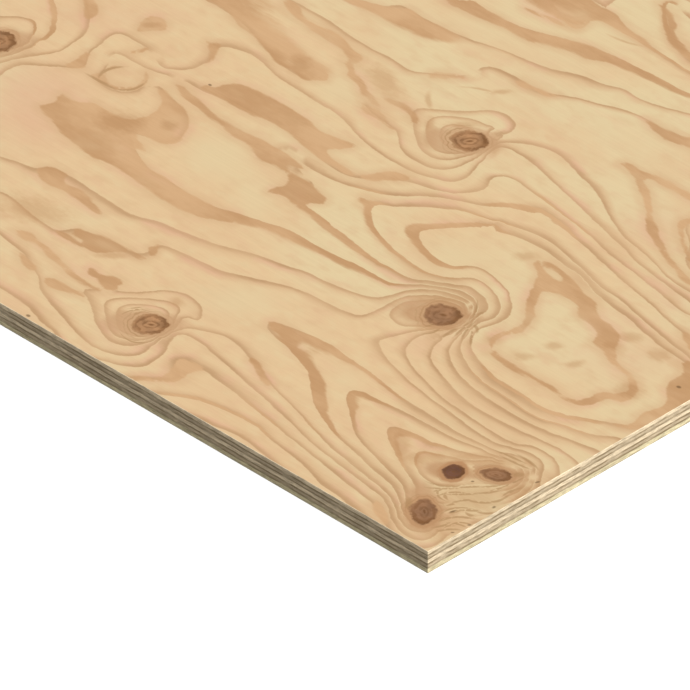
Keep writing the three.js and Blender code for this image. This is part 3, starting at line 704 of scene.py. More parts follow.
class SheetFigure:
    """The figure of one whole veneer, pieced together from lengths and turns of the same log."""

    VARIETY_WAVES = 7  # slow waves that keep one turn from looking quite like the next
    VARIETY_LENGTHS = (190.0, 75.0)  # mm, the shortest such wave along and across the sheet
    VARIETY = 0.55  # rings
    VARIETY_START = 150.0  # mm past the drawn lines, over which the waves set in

    def __init__(self, ring_map, lengths, seed):
        self.map = ring_map
        self.lengths = lengths
        chance = np.random.default_rng(seed)
        self.waves = np.stack((
            chance.uniform(-1.0, 1.0, self.VARIETY_WAVES) / self.VARIETY_LENGTHS[0],
            chance.uniform(-1.0, 1.0, self.VARIETY_WAVES) / self.VARIETY_LENGTHS[1],
            chance.uniform(0.0, 2.0 * math.pi, self.VARIETY_WAVES),
        ))
        self.knots = self.placed_spots(KNOTS, chance, tone=REPEAT_TONE)
        self.streaks = self.placed_spots(STREAKS, chance)
        self.flecks = self.placed_spots(FLECKS, chance)
        self.smudges = self.placed_spots(SMUDGES, chance)
        self.clouds = self.placed_spots(CLOUDS, chance, tone=REPEAT_TONE)

    @staticmethod
    def length_share(number, count, u):
        """How much length number of the log has to say at u: the shares of all lengths add up to 1."""
        start, end = number * LOG_LENGTH, (number + 1) * LOG_LENGTH
        share = np.ones_like(u)
        if number > 0:
            share = smooth_step(start - JOINING / 2, start + JOINING / 2, u)
        if number < count - 1:
            share = share * (1.0 - smooth_step(end - JOINING / 2, end + JOINING / 2, u))
        return share

    @staticmethod
    def turn_share(number, v):
        """How much turn number of the log has to say at v along its own length."""
        share = 1.0 - smooth_step(0.0, JOINING / 2, v - TURN_START - number * TURN)
        if number > 0:
            share = share * smooth_step(0.0, JOINING / 2, v - TURN_START - (number - 1) * TURN)
        return share

    def shares(self, u, v):
        """Each turn of each length that shows somewhere: its share, and its places on the ring map."""
        for number, (end_for_end, turned_over, shift) in enumerate(self.lengths):
            length_share = self.length_share(number, len(self.lengths), u)
            along = u - number * LOG_LENGTH
            along = LOG_LENGTH - along if end_for_end else along
            around = shift - v if turned_over else shift + v
            for turn in range(TURNS):
                share = length_share * self.turn_share(turn, around)
                if share.any():
                    yield share, along, around - turn * TURN

    def rings(self, u, v):
        """Ring number, broadness, depth inside a patch and share of the borders at each u, v."""
        parts = self.map.height, self.map.broadness, self.map.patch_depth, self.map.line_share
        totals = np.zeros((len(parts), len(u)))
        for share, along, around in self.shares(u, v):
            used = share > 0.0
            for total, part in zip(totals, parts):
                total[used] += share[used] * part(along[used], around[used])
        totals[0] += self.variety(u, v)
        return totals

    def variety(self, u, v):
        """Slow waves past the drawn corner: the mean of sin(a u + b v + c) over all the waves."""
        beyond = np.maximum(u + v - DRAWN_REACH, v - u - DRAWN_LEAD)
        along, across, phase = self.waves[:, :, None]
        waves = np.sin(2.0 * math.pi * (along * u + across * v) + phase).mean(axis=0)
        strength = self.VARIETY * math.sqrt(self.VARIETY_WAVES)
        return strength * smooth_step(0.0, self.VARIETY_START, beyond) * waves

    def placed_spots(self, rows, chance, tone=0.0):
        """The spots of every turn and length that shows; only the drawn ones keep their exact size.

        Turning the veneer over mirrors a spot, so its tilt and its bend change sign.
        """
        drawn = [(row, False) for row in rows]
        drawn += [((u, v + TURN, *rest), True) for u, v, *rest in rows if beyond_drawing(u, v + TURN)]
        placed = []
        for number, (end_for_end, turned_over, shift) in enumerate(self.lengths):
            for turn in range(TURNS):
                for (along, around, half_length, half_width, tilt, last), repeat in drawn:
                    scale, lighter = chance.uniform(*SPOT_SCALES), chance.uniform(-tone, tone)
                    u = number * LOG_LENGTH + (LOG_LENGTH - along if end_for_end else along)
                    around = around + turn * TURN
                    v = shift - around if turned_over else around - shift
                    share = self.length_share(number, len(self.lengths), np.array([u]))
                    share = share * self.turn_share(turn, np.array([around]))
                    on_sheet = abs(u - SHEET_LENGTH / 2) < SHEET_LENGTH / 2 + SPOT_MARGIN
                    on_sheet = on_sheet and abs(v - SHEET_WIDTH / 2) < SHEET_WIDTH / 2 + SPOT_MARGIN
                    if share[0] < 0.5 or not on_sheet:
                        continue
                    if number == 0 and turn == 0 and not repeat:
                        scale, lighter = 1.0, 0.0
                    if end_for_end != turned_over:
                        tilt = -tilt
                    last = last - lighter if tone else (-last if turned_over else last)
                    placed.append((u, v, half_length * scale, half_width * scale, tilt, last))
        return np.array(placed)

    def warmth(self, u, v):
        """How much pinker (above 0) or more straw-coloured (below 0) the wood is.

        The sum of strength exp(-(x^2 + y^2)) over the clouds, x and y in half lengths and widths.
        """
        total = np.zeros_like(u)
        for cloud in self.clouds:
            x, y = in_spot_frame(u, v, cloud)
            total += cloud[5] * np.exp(-(x**2) - y**2)
        return total

    def knot_dish(self, u, v):
        """How deep sanding has hollowed the knots: KNOT_DISH exp(-d^4), d in the knot's half widths."""
        depth = np.zeros_like(u)
        for knot in self.knots:
            x, y = in_spot_frame(u, v, knot)
            depth += KNOT_DISH * np.exp(-((x**2 + y**2) ** 2))
        return depth


def in_spot_frame(u, v, spot):
    """x along and y across a spot, in its own half lengths and half widths."""
    turn = np.radians(spot[..., 4])
    du, dv = u - spot[..., 0], v - spot[..., 1]
    x = (du * np.cos(turn) + dv * np.sin(turn)) / spot[..., 2]
    y = (dv * np.cos(turn) - du * np.sin(turn)) / spot[..., 3]
    return x, y


def corner_spots(u, v, faces, spots, bent):
    """Every face corner's place as seen from the one spot nearest to its whole face.

    Since a face's corners share one spot, the place runs exactly straight across the face. The
    third number is the spot's last one. A bent spot follows y = bend x^2.
    """
    middle_u, middle_v = u[faces].mean(axis=1), v[faces].mean(axis=1)
    best = np.full(len(faces), np.inf)
    number = np.zeros(len(faces), int)
    for index, spot in enumerate(spots):
        x, y = in_spot_frame(middle_u, middle_v, spot)
        away = np.hypot(x, y - spot[5] * x**2) if bent else np.hypot(x, y)
        nearer = away < best
        best[nearer] = away[nearer]
        number[nearer] = index
    chosen = spots[number][:, None]
    x, y = in_spot_frame(u[faces], v[faces], chosen)
    return np.stack((x, y, np.broadcast_to(chosen[..., 5], x.shape)), -1).reshape(-1, 3)


# ---------------------------------------------------------------------------------------------
# Veneer shapes
# ---------------------------------------------------------------------------------------------

EASED_ARRIS = 0.4 * MM  # sanded round along the outer edges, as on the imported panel
ARRIS_ANGLES = np.radians((30.0, 60.0, 90.0))
WALL_ROWS = 6  # rows of points down each ply's sawn edge
LIP = 15.0 * MM  # how far in the glue lines waver before the ply lies flat
GLUE_STRAY = 0.09 * MM  # how far each wave moves a glue line
GLUE_WAVES = (18.0, 210.0, 9)  # fewest and most rounds of such a wave, and how many waves there are
GLUE_SEED = 400
SAW_DEPTH = 0.04 * MM  # how far the saw's marks reach in, on average
SAW_WAVES = (90.0, 900.0, 8)
SAW_SEED = 40
SAW_SLANT = (0.38, 1.9)  # least and most turn of a wave from one row down the edge to the next
KNOT_DISH = 0.15 * MM  # sanding leaves the hard knots a little hollow at the middle
FAR_AWAY = 30.0  # half widths, for surfaces that no knot, streak or fleck reaches
MERGING = 1e-7  # metres within which two points are one


def graded(long, near, near_step, far_step):
    """Stations from 0 to long: near_step apart up to near, then far_step apart."""
    fine = np.linspace(0.0, near, round(near / near_step) + 1)
    coarse = np.linspace(near, long, round((long - near) / far_step) + 1)
    return np.concatenate((fine, coarse[1:]))


def grid_lines(near_length, near_width, near_step, far_step):
    """x and y of the mesh lines, fine out to a length and a width from the near corner.

    At both ends they are drawn in by the arris.
    """
    long, wide = SHEET_HIGH.x - SHEET_LOW.x, SHEET_HIGH.y - SHEET_LOW.y
    u = np.clip(graded(long, near_length, near_step, far_step), EASED_ARRIS, long - EASED_ARRIS)
    v = np.clip(graded(wide, near_width, near_step, far_step), EASED_ARRIS, wide - EASED_ARRIS)
    return SHEET_HIGH.x - u[::-1], SHEET_LOW.y + v


class Rim:
    """Once round a rectangle, anticlockwise: points, outward directions and the distance gone."""

    def __init__(self, xs, ys):
        sides = (
            (xs, np.full_like(xs, ys[0]), (0.0, -1.0)),
            (np.full_like(ys, xs[-1]), ys, (1.0, 0.0)),
            (xs[::-1], np.full_like(xs, ys[-1]), (0.0, 1.0)),
            (np.full_like(ys, xs[0]), ys[::-1], (-1.0, 0.0)),
        )
        points, outward = [], []
        for number, (x, y, facing) in enumerate(sides):
            following = np.array(sides[(number + 1) % 4][2])
            points.append(np.stack((x, y), -1))
            points.append(points[-1][-1:])
            outward.append(np.tile(facing, (len(x), 1)))
            outward.append((following + facing)[None] / math.sqrt(2.0))
        self.points = np.concatenate(points)
        self.outward = np.concatenate(outward)
        steps = np.hypot(*np.diff(self.points, axis=0, append=self.points[:1]).T)
        self.round = steps.sum()
        self.distance = np.concatenate(([0.0], np.cumsum(steps)[:-1]))

    @staticmethod
    def grid_index(shape):
        """The grid points that lie on the rim, in the rim's own order."""
        index = np.arange(shape[0] * shape[1]).reshape(shape)
        sides = (index[0], index[:, -1], index[-1, ::-1], index[::-1, 0])
        return np.concatenate([np.append(side, side[-1]) for side in sides])

    def row(self, out, height):
        """The rim moved outwards by out, at a height that may change along it."""
        return np.column_stack((self.points + self.outward * out, np.broadcast_to(height, len(self.points))))

    def inner_row(self, inwards, height):
        """The rim pulled inwards on all sides, level."""
        low, high = self.points.min(axis=0) + inwards, self.points.max(axis=0) - inwards
        return np.column_stack((np.clip(self.points, low, high), np.full(len(self.points), height)))

    def waves(self, rounds, phases):
        """Sine waves along the rim, a column each; they run whole rounds, so their ends meet."""
        turn = 2.0 * math.pi * self.distance / self.round
        return np.sin(turn[:, None] * np.round(rounds) + phases)

    def glue_waver(self, number):
        """How far glue line number strays up or down, a sum of waves that both plies at it share."""
        chance = np.random.default_rng(GLUE_SEED + number)
        rounds = chance.uniform(*GLUE_WAVES)
        phases = chance.uniform(0.0, 2.0 * math.pi, GLUE_WAVES[-1])
        return GLUE_STRAY * self.waves(rounds, phases).sum(axis=1)

    def sawn_row(self, row, height):
        """One row down the sawn edge, which stands back by SAW_DEPTH times 1 + the mean of waves."""
        chance = np.random.default_rng(SAW_SEED)
        rounds = chance.uniform(*SAW_WAVES)
        phases = chance.uniform(0.0, 2.0 * math.pi, SAW_WAVES[-1])
        phases = phases + row * chance.uniform(*SAW_SLANT, SAW_WAVES[-1])
        marks = SAW_DEPTH * (1.0 + self.waves(rounds, phases).mean(axis=1))
        return self.row(EASED_ARRIS - marks[:, None], height)


def strips(row_count, column_count, closed):
    """Four-sided faces between neighbouring rows of a grid, facing outwards from a rim."""
    index = np.arange(row_count * column_count).reshape(row_count, column_count)
    if closed:
        index = np.column_stack((index, index[:, :1]))
    corners = (index[1:, :-1], index[1:, 1:], index[:-1, 1:], index[:-1, :-1])
    return np.stack(corners, -1).reshape(-1, 4)


def end_face(row, first, upwards):
    """One face across a closed row of points, without the repeats at its corners."""
    kept = np.hypot(*np.diff(row[:, :2], axis=0, append=row[:1, :2]).T) > MERGING
    face = (np.flatnonzero(kept) + first).tolist()
    return face if upwards else face[::-1]


def make_piece(name, node, points, faces, finishes, finish_of_face, attributes=()):
    """A finished piece of the sheet: its mesh merged and closed, its materials and its place."""
    mesh = bpy.data.meshes.new(name)
    mesh.from_pydata(points.tolist(), [], faces)
    for label, kind, domain, values in attributes:
        layer = mesh.attributes.new(label, kind, domain)
        layer.data.foreach_set("vector" if kind == "FLOAT_VECTOR" else "value", values.ravel())
    mesh.polygons.foreach_set("material_index", finish_of_face)
    for finish in finishes:
        mesh.materials.append(finish)
    merged = bmesh.new()
    merged.from_mesh(mesh)
    bmesh.ops.remove_doubles(merged, verts=merged.verts, dist=MERGING)
    bmesh.ops.recalc_face_normals(merged, faces=merged.faces)
    merged.to_mesh(mesh)
    merged.free()
    piece = bpy.data.objects.new(name, mesh)
    bpy.context.scene.collection.objects.link(piece)
    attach(piece, "root")
    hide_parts(node)
    return piece


def outer_veneer(name, node, figure, facing, glue_line, lines, finishes):
    """A face or back veneer: z = outer level - facing * depth(x, y), closed over a rounded arris.

    The skin is a grid over x and y, dished at the knots. Round it runs a profile of rows: the
    arris, out = a sin t and depth = a (1 - cos t), the sawn wall down to the wavering glue line,
    and a flat lip and face against the next ply.
    """
    low, high = PLY_BOX[node]
    outer = high.z if facing > 0 else low.z
    thick = high.z - low.z
    xs, ys = lines
    x, y = np.meshgrid(xs, ys)
    u, v = (SHEET_HIGH.x - x).ravel() / MM, (y - SHEET_LOW.y).ravel() / MM
    ring, broad, patch, line_share = figure.rings(u, v)
    grid = ring.reshape(x.shape)
    slope = np.hypot(np.gradient(grid, ys, axis=0), np.gradient(grid, xs, axis=1)).ravel()
    dish = figure.knot_dish(u, v)

    rim = Rim(xs, ys)
    rim_index = Rim.grid_index(x.shape)
    outs = [0.0] + [EASED_ARRIS * math.sin(t) for t in ARRIS_ANGLES]
    depths = [0.0] + [EASED_ARRIS * (1.0 - math.cos(t)) for t in ARRIS_ANGLES]
    rows = [rim.row(out, outer - facing * depth) for out, depth in zip(outs, depths)]
    rows[0][:, 2] = outer - facing * dish[rim_index]
    line = outer - facing * thick + rim.glue_waver(glue_line)
    arris_end = outer - facing * EASED_ARRIS
    for number in range(1, WALL_ROWS + 1):
        rows.append(rim.sawn_row(number, arris_end + (line - arris_end) * number / WALL_ROWS))
    rows.append(rim.inner_row(LIP, outer - facing * thick))

    skin = np.column_stack((x.ravel(), y.ravel(), outer - facing * dish))
    first = len(skin)
    skin_faces = strips(*x.shape, closed=False)
    wall_faces = strips(len(rows), len(rim.points), closed=True) + first
    last = first + (len(rows) - 1) * len(rim.points)
    faces = skin_faces.tolist() + wall_faces.tolist() + [end_face(rows[-1], last, False)]
    finish = np.zeros(len(faces), int)
    finish[len(skin_faces):] = 1
    points = np.concatenate([skin] + rows)

    def spread(values, otherwise=0.0):
        """Values of the skin's points, their copies on the rim, and one value for the edges."""
        rest = np.full(len(points) - first, otherwise)
        rest[:len(rim_index)] = values[rim_index]
        return np.concatenate((values, rest))

    def corners(spots, bent=True):
        """Spot places of the skin's face corners; the edges lie far from every spot."""
        places = corner_spots(u, v, skin_faces, spots, bent)
        return np.concatenate((places, np.full((4 * len(wall_faces) + len(faces[-1]), 3), FAR_AWAY)))

    attributes = (
        ("ring", "FLOAT", "POINT", spread(ring)),
        ("ring_slope", "FLOAT", "POINT", spread(slope, 1.0)),
        ("broad_band", "FLOAT", "POINT", spread(broad)),
        ("line_share", "FLOAT", "POINT", spread(line_share)),
        ("patch_depth", "FLOAT", "POINT", spread(patch * MM)),
        ("warmth", "FLOAT", "POINT", spread(figure.warmth(u, v))),
        ("knot_place", "FLOAT_VECTOR", "CORNER", corners(figure.knots, bent=False)),
        ("streak_place", "FLOAT_VECTOR", "CORNER", corners(figure.streaks)),
        ("fleck_place", "FLOAT_VECTOR", "CORNER", corners(figure.flecks)),
        ("smudge_place", "FLOAT_VECTOR", "CORNER", corners(figure.smudges)),
    )
    return make_piece(name, node, points, faces, finishes, finish, attributes)


def inner_veneer(name, node, glue_lines, lines, finish):
    """A ply between two others: flat inside, with the sawn edge between two wavering glue lines.

    Down the edge the height runs from the upper line to the lower one, z = z1 + (z0 - z1) t.
    """
    low, high = PLY_BOX[node]
    rim = Rim(*lines)
    lower = low.z + rim.glue_waver(glue_lines[0])
    upper = high.z + rim.glue_waver(glue_lines[1])
    rows = [rim.inner_row(LIP, high.z)]
    for number in range(WALL_ROWS + 1):
        rows.append(rim.sawn_row(number, upper + (lower - upper) * number / WALL_ROWS))
    rows.append(rim.inner_row(LIP, low.z))
    points = np.concatenate(rows)
    last = (len(rows) - 1) * len(rim.points)
    faces = strips(len(rows), len(rim.points), closed=True).tolist()
    faces += [end_face(rows[0], 0, True), end_face(rows[-1], last, False)]
    return make_piece(name, node, points, faces, [finish], np.zeros(len(faces), int))


# ---------------------------------------------------------------------------------------------
# Materials. Noise is given in waves per metre along, across and up through the sheet, and lies
# mostly between 0.3 and 0.7.
# ---------------------------------------------------------------------------------------------

FIBRES_ALONG = (16.0, 620.0, 620.0)  # fibres that run along the sheet
FIBRES_ACROSS = (620.0, 16.0, 620.0)
CORNER_DIAGONAL = SHEET_HIGH.x + SHEET_LOW.y  # x + y at the near corner
FIBRE_RELIEF = 0.12 * MM
TORN_RELIEF = 0.2 * MM

# How far glue is smeared over the sawn edge of the ply above a joint and of the ply below it: along
# the sheet's sides, at its ends, and the width of its soft border.
GLUE_ABOVE = (0.7 * MM, 1.25 * MM, 0.6 * MM)
GLUE_BELOW = (1.0 * MM, 0.6 * MM, 0.5 * MM)


class Wire:
    """A value in a node tree. The signs + - * / and ** between wires each make a Math node."""

    def __init__(self, wiring, socket):
        self.wiring = wiring
        self.socket = socket

    def __add__(self, other):
        return self.wiring.maths("ADD", self, other)

    def __sub__(self, other):
        return self.wiring.maths("SUBTRACT", self, other)

    def __rsub__(self, other):
        return self.wiring.maths("SUBTRACT", other, self)

    def __mul__(self, other):
        return self.wiring.maths("MULTIPLY", self, other)

    def __truediv__(self, other):
        return self.wiring.maths("DIVIDE", self, other)

    def __pow__(self, other):
        return self.wiring.maths("POWER", self, other)

    def rise(self, low, high, at_low=0.0, at_high=1.0):
        """Runs smoothly from at_low to at_high while the value goes from low to high."""
        inputs = {"Value": self, "From Min": low, "From Max": high, "To Min": at_low, "To Max": at_high}
        return self.wiring.value("ShaderNodeMapRange", inputs, interpolation_type="SMOOTHSTEP")

    def fall(self, low, high, at_low=1.0):
        """Runs smoothly from at_low to 0 while the value goes from low to high."""
        return self.rise(low, high, at_low, 0.0)

    def stray(self, width):
        """Noise shifted to lie about 0, over the given width."""
        return (self - 0.5) * width


class Wiring:
    """Adds nodes to one node tree and joins them up."""

    def __init__(self, tree):
        self.tree = tree

    def node(self, kind, inputs=(), **settings):
        """A node with its settings, and wires or values for its inputs by name or number."""
        made = self.tree.nodes.new(kind)
        for label, value in settings.items():
            setattr(made, label, value)
        for label, value in dict(inputs).items():
            socket = made.inputs[label]
            if isinstance(value, Wire):
                self.tree.links.new(value.socket, socket)
            elif socket.type == "RGBA":
                socket.default_value = (*value, 1.0)
            else:
                socket.default_value = value
        return made

    def values(self, kind, inputs=(), **settings):
        """The wires from all the outputs of a new node, by name."""
        outputs = self.node(kind, inputs, **settings).outputs
        return {socket.name: Wire(self, socket) for socket in outputs}

    def value(self, kind, inputs=(), output=0, **settings):
        """The wire from one output of a new node."""
        return Wire(self, self.node(kind, inputs, **settings).outputs[output])

    def maths(self, operation, *values):
        """The result of a Math node."""
        return self.value("ShaderNodeMath", enumerate(values), operation=operation)

    def split(self, vector):
        """The three parts of a vector."""
        return self.values("ShaderNodeSeparateXYZ", {0: vector}).values()

    def noise(self, position, waves, detail=2.0, roughness=0.5, output="Fac"):
        """Noise with so many waves per metre along each axis."""
        vector = self.value("ShaderNodeVectorMath", {0: position, 1: waves}, operation="MULTIPLY")
        inputs = {"Vector": vector, "Scale": 1.0, "Detail": detail, "Roughness": roughness}
        return self.value("ShaderNodeTexNoise", inputs, output)

    def mix(self, share, first, second, blend="MIX"):
        """One colour laid over another."""
        inputs = {0: share, 6: first, 7: second}
        return self.value("ShaderNodeMix", inputs, 2, data_type="RGBA", blend_type=blend)

    def shaded(self, colour, shade):
        """A colour made lighter or darker."""
        grey = self.value("ShaderNodeCombineColor", {0: shade, 1: shade, 2: shade})
        return self.mix(1.0, colour, grey, "MULTIPLY")

    def attribute(self, name, output="Fac"):
        """A value that the mesh holds at its points."""
        return self.value("ShaderNodeAttribute", (), output, attribute_name=name)

    def group(self, group, **inputs):
        """The outputs of a placed node group; its inputs are named with underscores for spaces."""
        inputs = {label.replace("_", " "): value for label, value in inputs.items()}
        return self.values("ShaderNodeGroup", inputs, node_tree=group)

    def ray_is(self, *kinds):
        """1 for light rays of the given kinds."""
        path = self.values("ShaderNodeLightPath")
        return functools.reduce(functools.partial(self.maths, "MAXIMUM"), [path[kind] for kind in kinds])

    def surface(self, **inputs):
        """The Principled shader; its inputs are named with underscores for spaces."""
        inputs = {label.replace("_", " "): value for label, value in inputs.items()}
        shader = self.value("ShaderNodeBsdfPrincipled", inputs)
        self.node("ShaderNodeOutputMaterial", {"Surface": shader})


def new_group(name, vectors, numbers, results):
    """An empty shader node group with named sockets: its wiring and the wires from its inputs."""
    tree = bpy.data.node_groups.new(name, "ShaderNodeTree")
    for labels, in_out, kind in (
        (vectors, "INPUT", "NodeSocketVector"),
        (numbers, "INPUT", "NodeSocketFloat"),
        (results, "OUTPUT", "NodeSocketFloat"),
    ):
        for label in labels:
            tree.interface.new_socket(label, in_out=in_out, socket_type=kind)
    wires = Wiring(tree)
    return wires, wires.values("NodeGroupInput")


def growth_ring_group():
    """Latewood from the ring map: a ring darkens towards its border and ends there sharply.

    With r the ring number, the way left to the border is (1 - fract r) / |slope of r|, in metres.
    The fringe is the warmer wood that leads up to the line.
    """
    wires, given = new_group(
        "Growth Rings", vectors=("Position",),
        numbers=("Ring", "Slope", "Broad Band", "Share", "Line Width", "Waver"),
        results=("Line", "Fringe", "Band"),
    )
    position, slope = given["Position"], given["Slope"]
    slow = wires.noise(position, (38.0, 60.0, 38.0), detail=1.0)
    quick = wires.noise(position, (110.0, 230.0, 110.0), detail=3.0, roughness=0.65)
    jog = (slow.stray(3.2) + quick.stray(3.4)) * given["Waver"] * slope
    share = wires.maths("FRACT", given["Ring"] + jog)
    left = (1.0 - share) / slope
    border = left.rise(0.0, 1.2 * MM) * given["Share"]
    wide = wires.noise(position, (11.0, 26.0, 11.0))
    reach = left / (given["Line Width"] * wide.rise(0.28, 0.72, 0.55, 1.45))
    dim = wires.noise(position, (17.0, 33.0, 17.0), detail=1.0)
    line = reach.fall(0.35, 1.7) * border * dim.rise(0.3, 0.6, 0.55)
    ragged = wires.noise(position, (30.0, 130.0, 30.0), detail=3.0, roughness=0.65)
    band = (share + ragged.stray(0.16)).rise(0.73, 0.83) * given["Broad Band"] * border
    fringe = reach.fall(0.9, 3.3) * border
    wires.node("NodeGroupOutput", {"Line": line, "Fringe": fringe, "Band": band})
    return wires.tree


def patch_group():
    """A broad latewood patch from the depth inside its outline, which noise makes ragged."""
    wires, given = new_group("Patch", vectors=("Position",), numbers=("Depth",), results=("Patch", "Stain"))
    ragged = wires.noise(given["Position"], (48.0, 170.0, 48.0), detail=4.0, roughness=0.68)
    faint = wires.noise(given["Position"], (22.0, 40.0, 22.0))
    depth = given["Depth"] + ragged.stray(5.2 * MM) + 0.4 * MM
    patch = depth.rise(-1.0 * MM, 1.3 * MM) * faint.rise(0.25, 0.5, 0.55)
    wires.node("NodeGroupOutput", {"Patch": patch, "Stain": depth.rise(-8.5 * MM, 0.0)})
    return wires.tree


def knot_group():
    """A knot: its pith, dark rim and finely ringed, stained surroundings.

    With x along and y across in half lengths and half widths, the way out from the pith is
    (|x|^2.2 + |y|^1.6)^0.53, which points the outline at both ends. Fine noise frays it. The stain
    reaches further on the +x side, where the knot's branch bent the rings.
    """
    wires, given = new_group(
        "Knot", vectors=("Place", "Position"), numbers=(),
        results=("Core", "Rim", "Heart", "Pith", "Collar", "Halo", "Halo Rings"),
    )
    position = given["Position"]
    along, across, _ = wires.split(given["Place"])
    sway = wires.noise(position, (70.0, 70.0, 70.0), output="Color")
    sway_x, sway_y, sway_halo = wires.values("ShaderNodeSeparateColor", {0: sway}).values()
    x = wires.maths("ABSOLUTE", along + sway_x.stray(0.5))
    y = wires.maths("ABSOLUTE", across + sway_y.stray(0.5))
    away = (x**2.2 + y**1.6) ** 0.53
    rough = wires.noise(position, (190.0, 190.0, 190.0))
    edge = away + rough.stray(0.34)
    frayed = wires.noise(position, (420.0, 420.0, 420.0), detail=3.0, roughness=0.65)
    core = (edge + frayed.stray(0.26)).fall(0.86, 1.08)
    rim = edge.rise(0.62, 0.9) * along.rise(-0.75, 0.45, 1.0, 0.3)
    rim = wires.maths("MAXIMUM", rim, along.fall(-0.9, -0.3, 0.9))
    heart = wires.maths("COSINE", edge * 17.0).rise(-0.3, 0.8) * 0.6 + rough.stray(2.4)
    halo_rings = wires.maths("COSINE", edge * 26.0).rise(0.0, 0.9)
    halo_rings = halo_rings * along.rise(-0.3, 0.8, 0.25) * away.fall(1.1, 1.7)
    bounds = ((along - 0.35) * 0.62) ** 2.0 + across**2.0
    bounds = wires.maths("SQRT", bounds) + sway_halo.stray(0.6)
    wires.node("NodeGroupOutput", {
        "Core": core,
        "Rim": rim * core,
        "Heart": heart * core,
        "Pith": away.fall(0.07, 0.2),
        "Collar": edge.fall(1.2, 1.5),
        "Halo": bounds.fall(0.9, 1.6),
        "Halo Rings": halo_rings,
    })
    return wires.tree


def spot_group():
    """A bent streak, smudge or fleck: 1 inside y = bend x^2, |(x, y)| < 1, and soft at its ragged rim."""
    wires, given = new_group(
        "Spot", vectors=("Place", "Position"), numbers=("Softness",), results=("Inside",),
    )
    x, y, bend = wires.split(given["Place"])
    y = y - x**2.0 * bend
    ragged = wires.noise(given["Position"], (140.0, 260.0, 140.0))
    away = wires.maths("SQRT", x**2.0 + y**2.0) + ragged.stray(1.1)
    inside = away.fall(1.0 - given["Softness"], given["Softness"] + 1.0)
    wires.node("NodeGroupOutput", {"Inside": inside})
    return wires.tree


def fibre_group():
    """Fine fibres: noise drawn out along one axis."""
    wires, given = new_group("Fibres", vectors=("Position", "Waves"), numbers=(), results=("Fibres",))
    fibres = wires.noise(given["Position"], given["Waves"], detail=4.0, roughness=0.6)
    wires.node("NodeGroupOutput", {"Fibres": fibres})
    return wires.tree


def shared_groups():
    """The node groups that the finishes share, built once."""
    makers = {
        "Growth Rings": growth_ring_group, "Patch": patch_group, "Knot": knot_group, "Spot": spot_group,
        "Fibres": fibre_group,
    }
    return {name: bpy.data.node_groups.get(name) or maker() for name, maker in makers.items()}


def new_material(name):
    """A material without nodes, the wiring to fill it, and the place on the piece."""
    material = bpy.data.materials.new(name)
    material.use_nodes = True
    material.node_tree.nodes.clear()
    wires = Wiring(material.node_tree)
    return material, wires, wires.value("ShaderNodeTexCoord", output="Object")


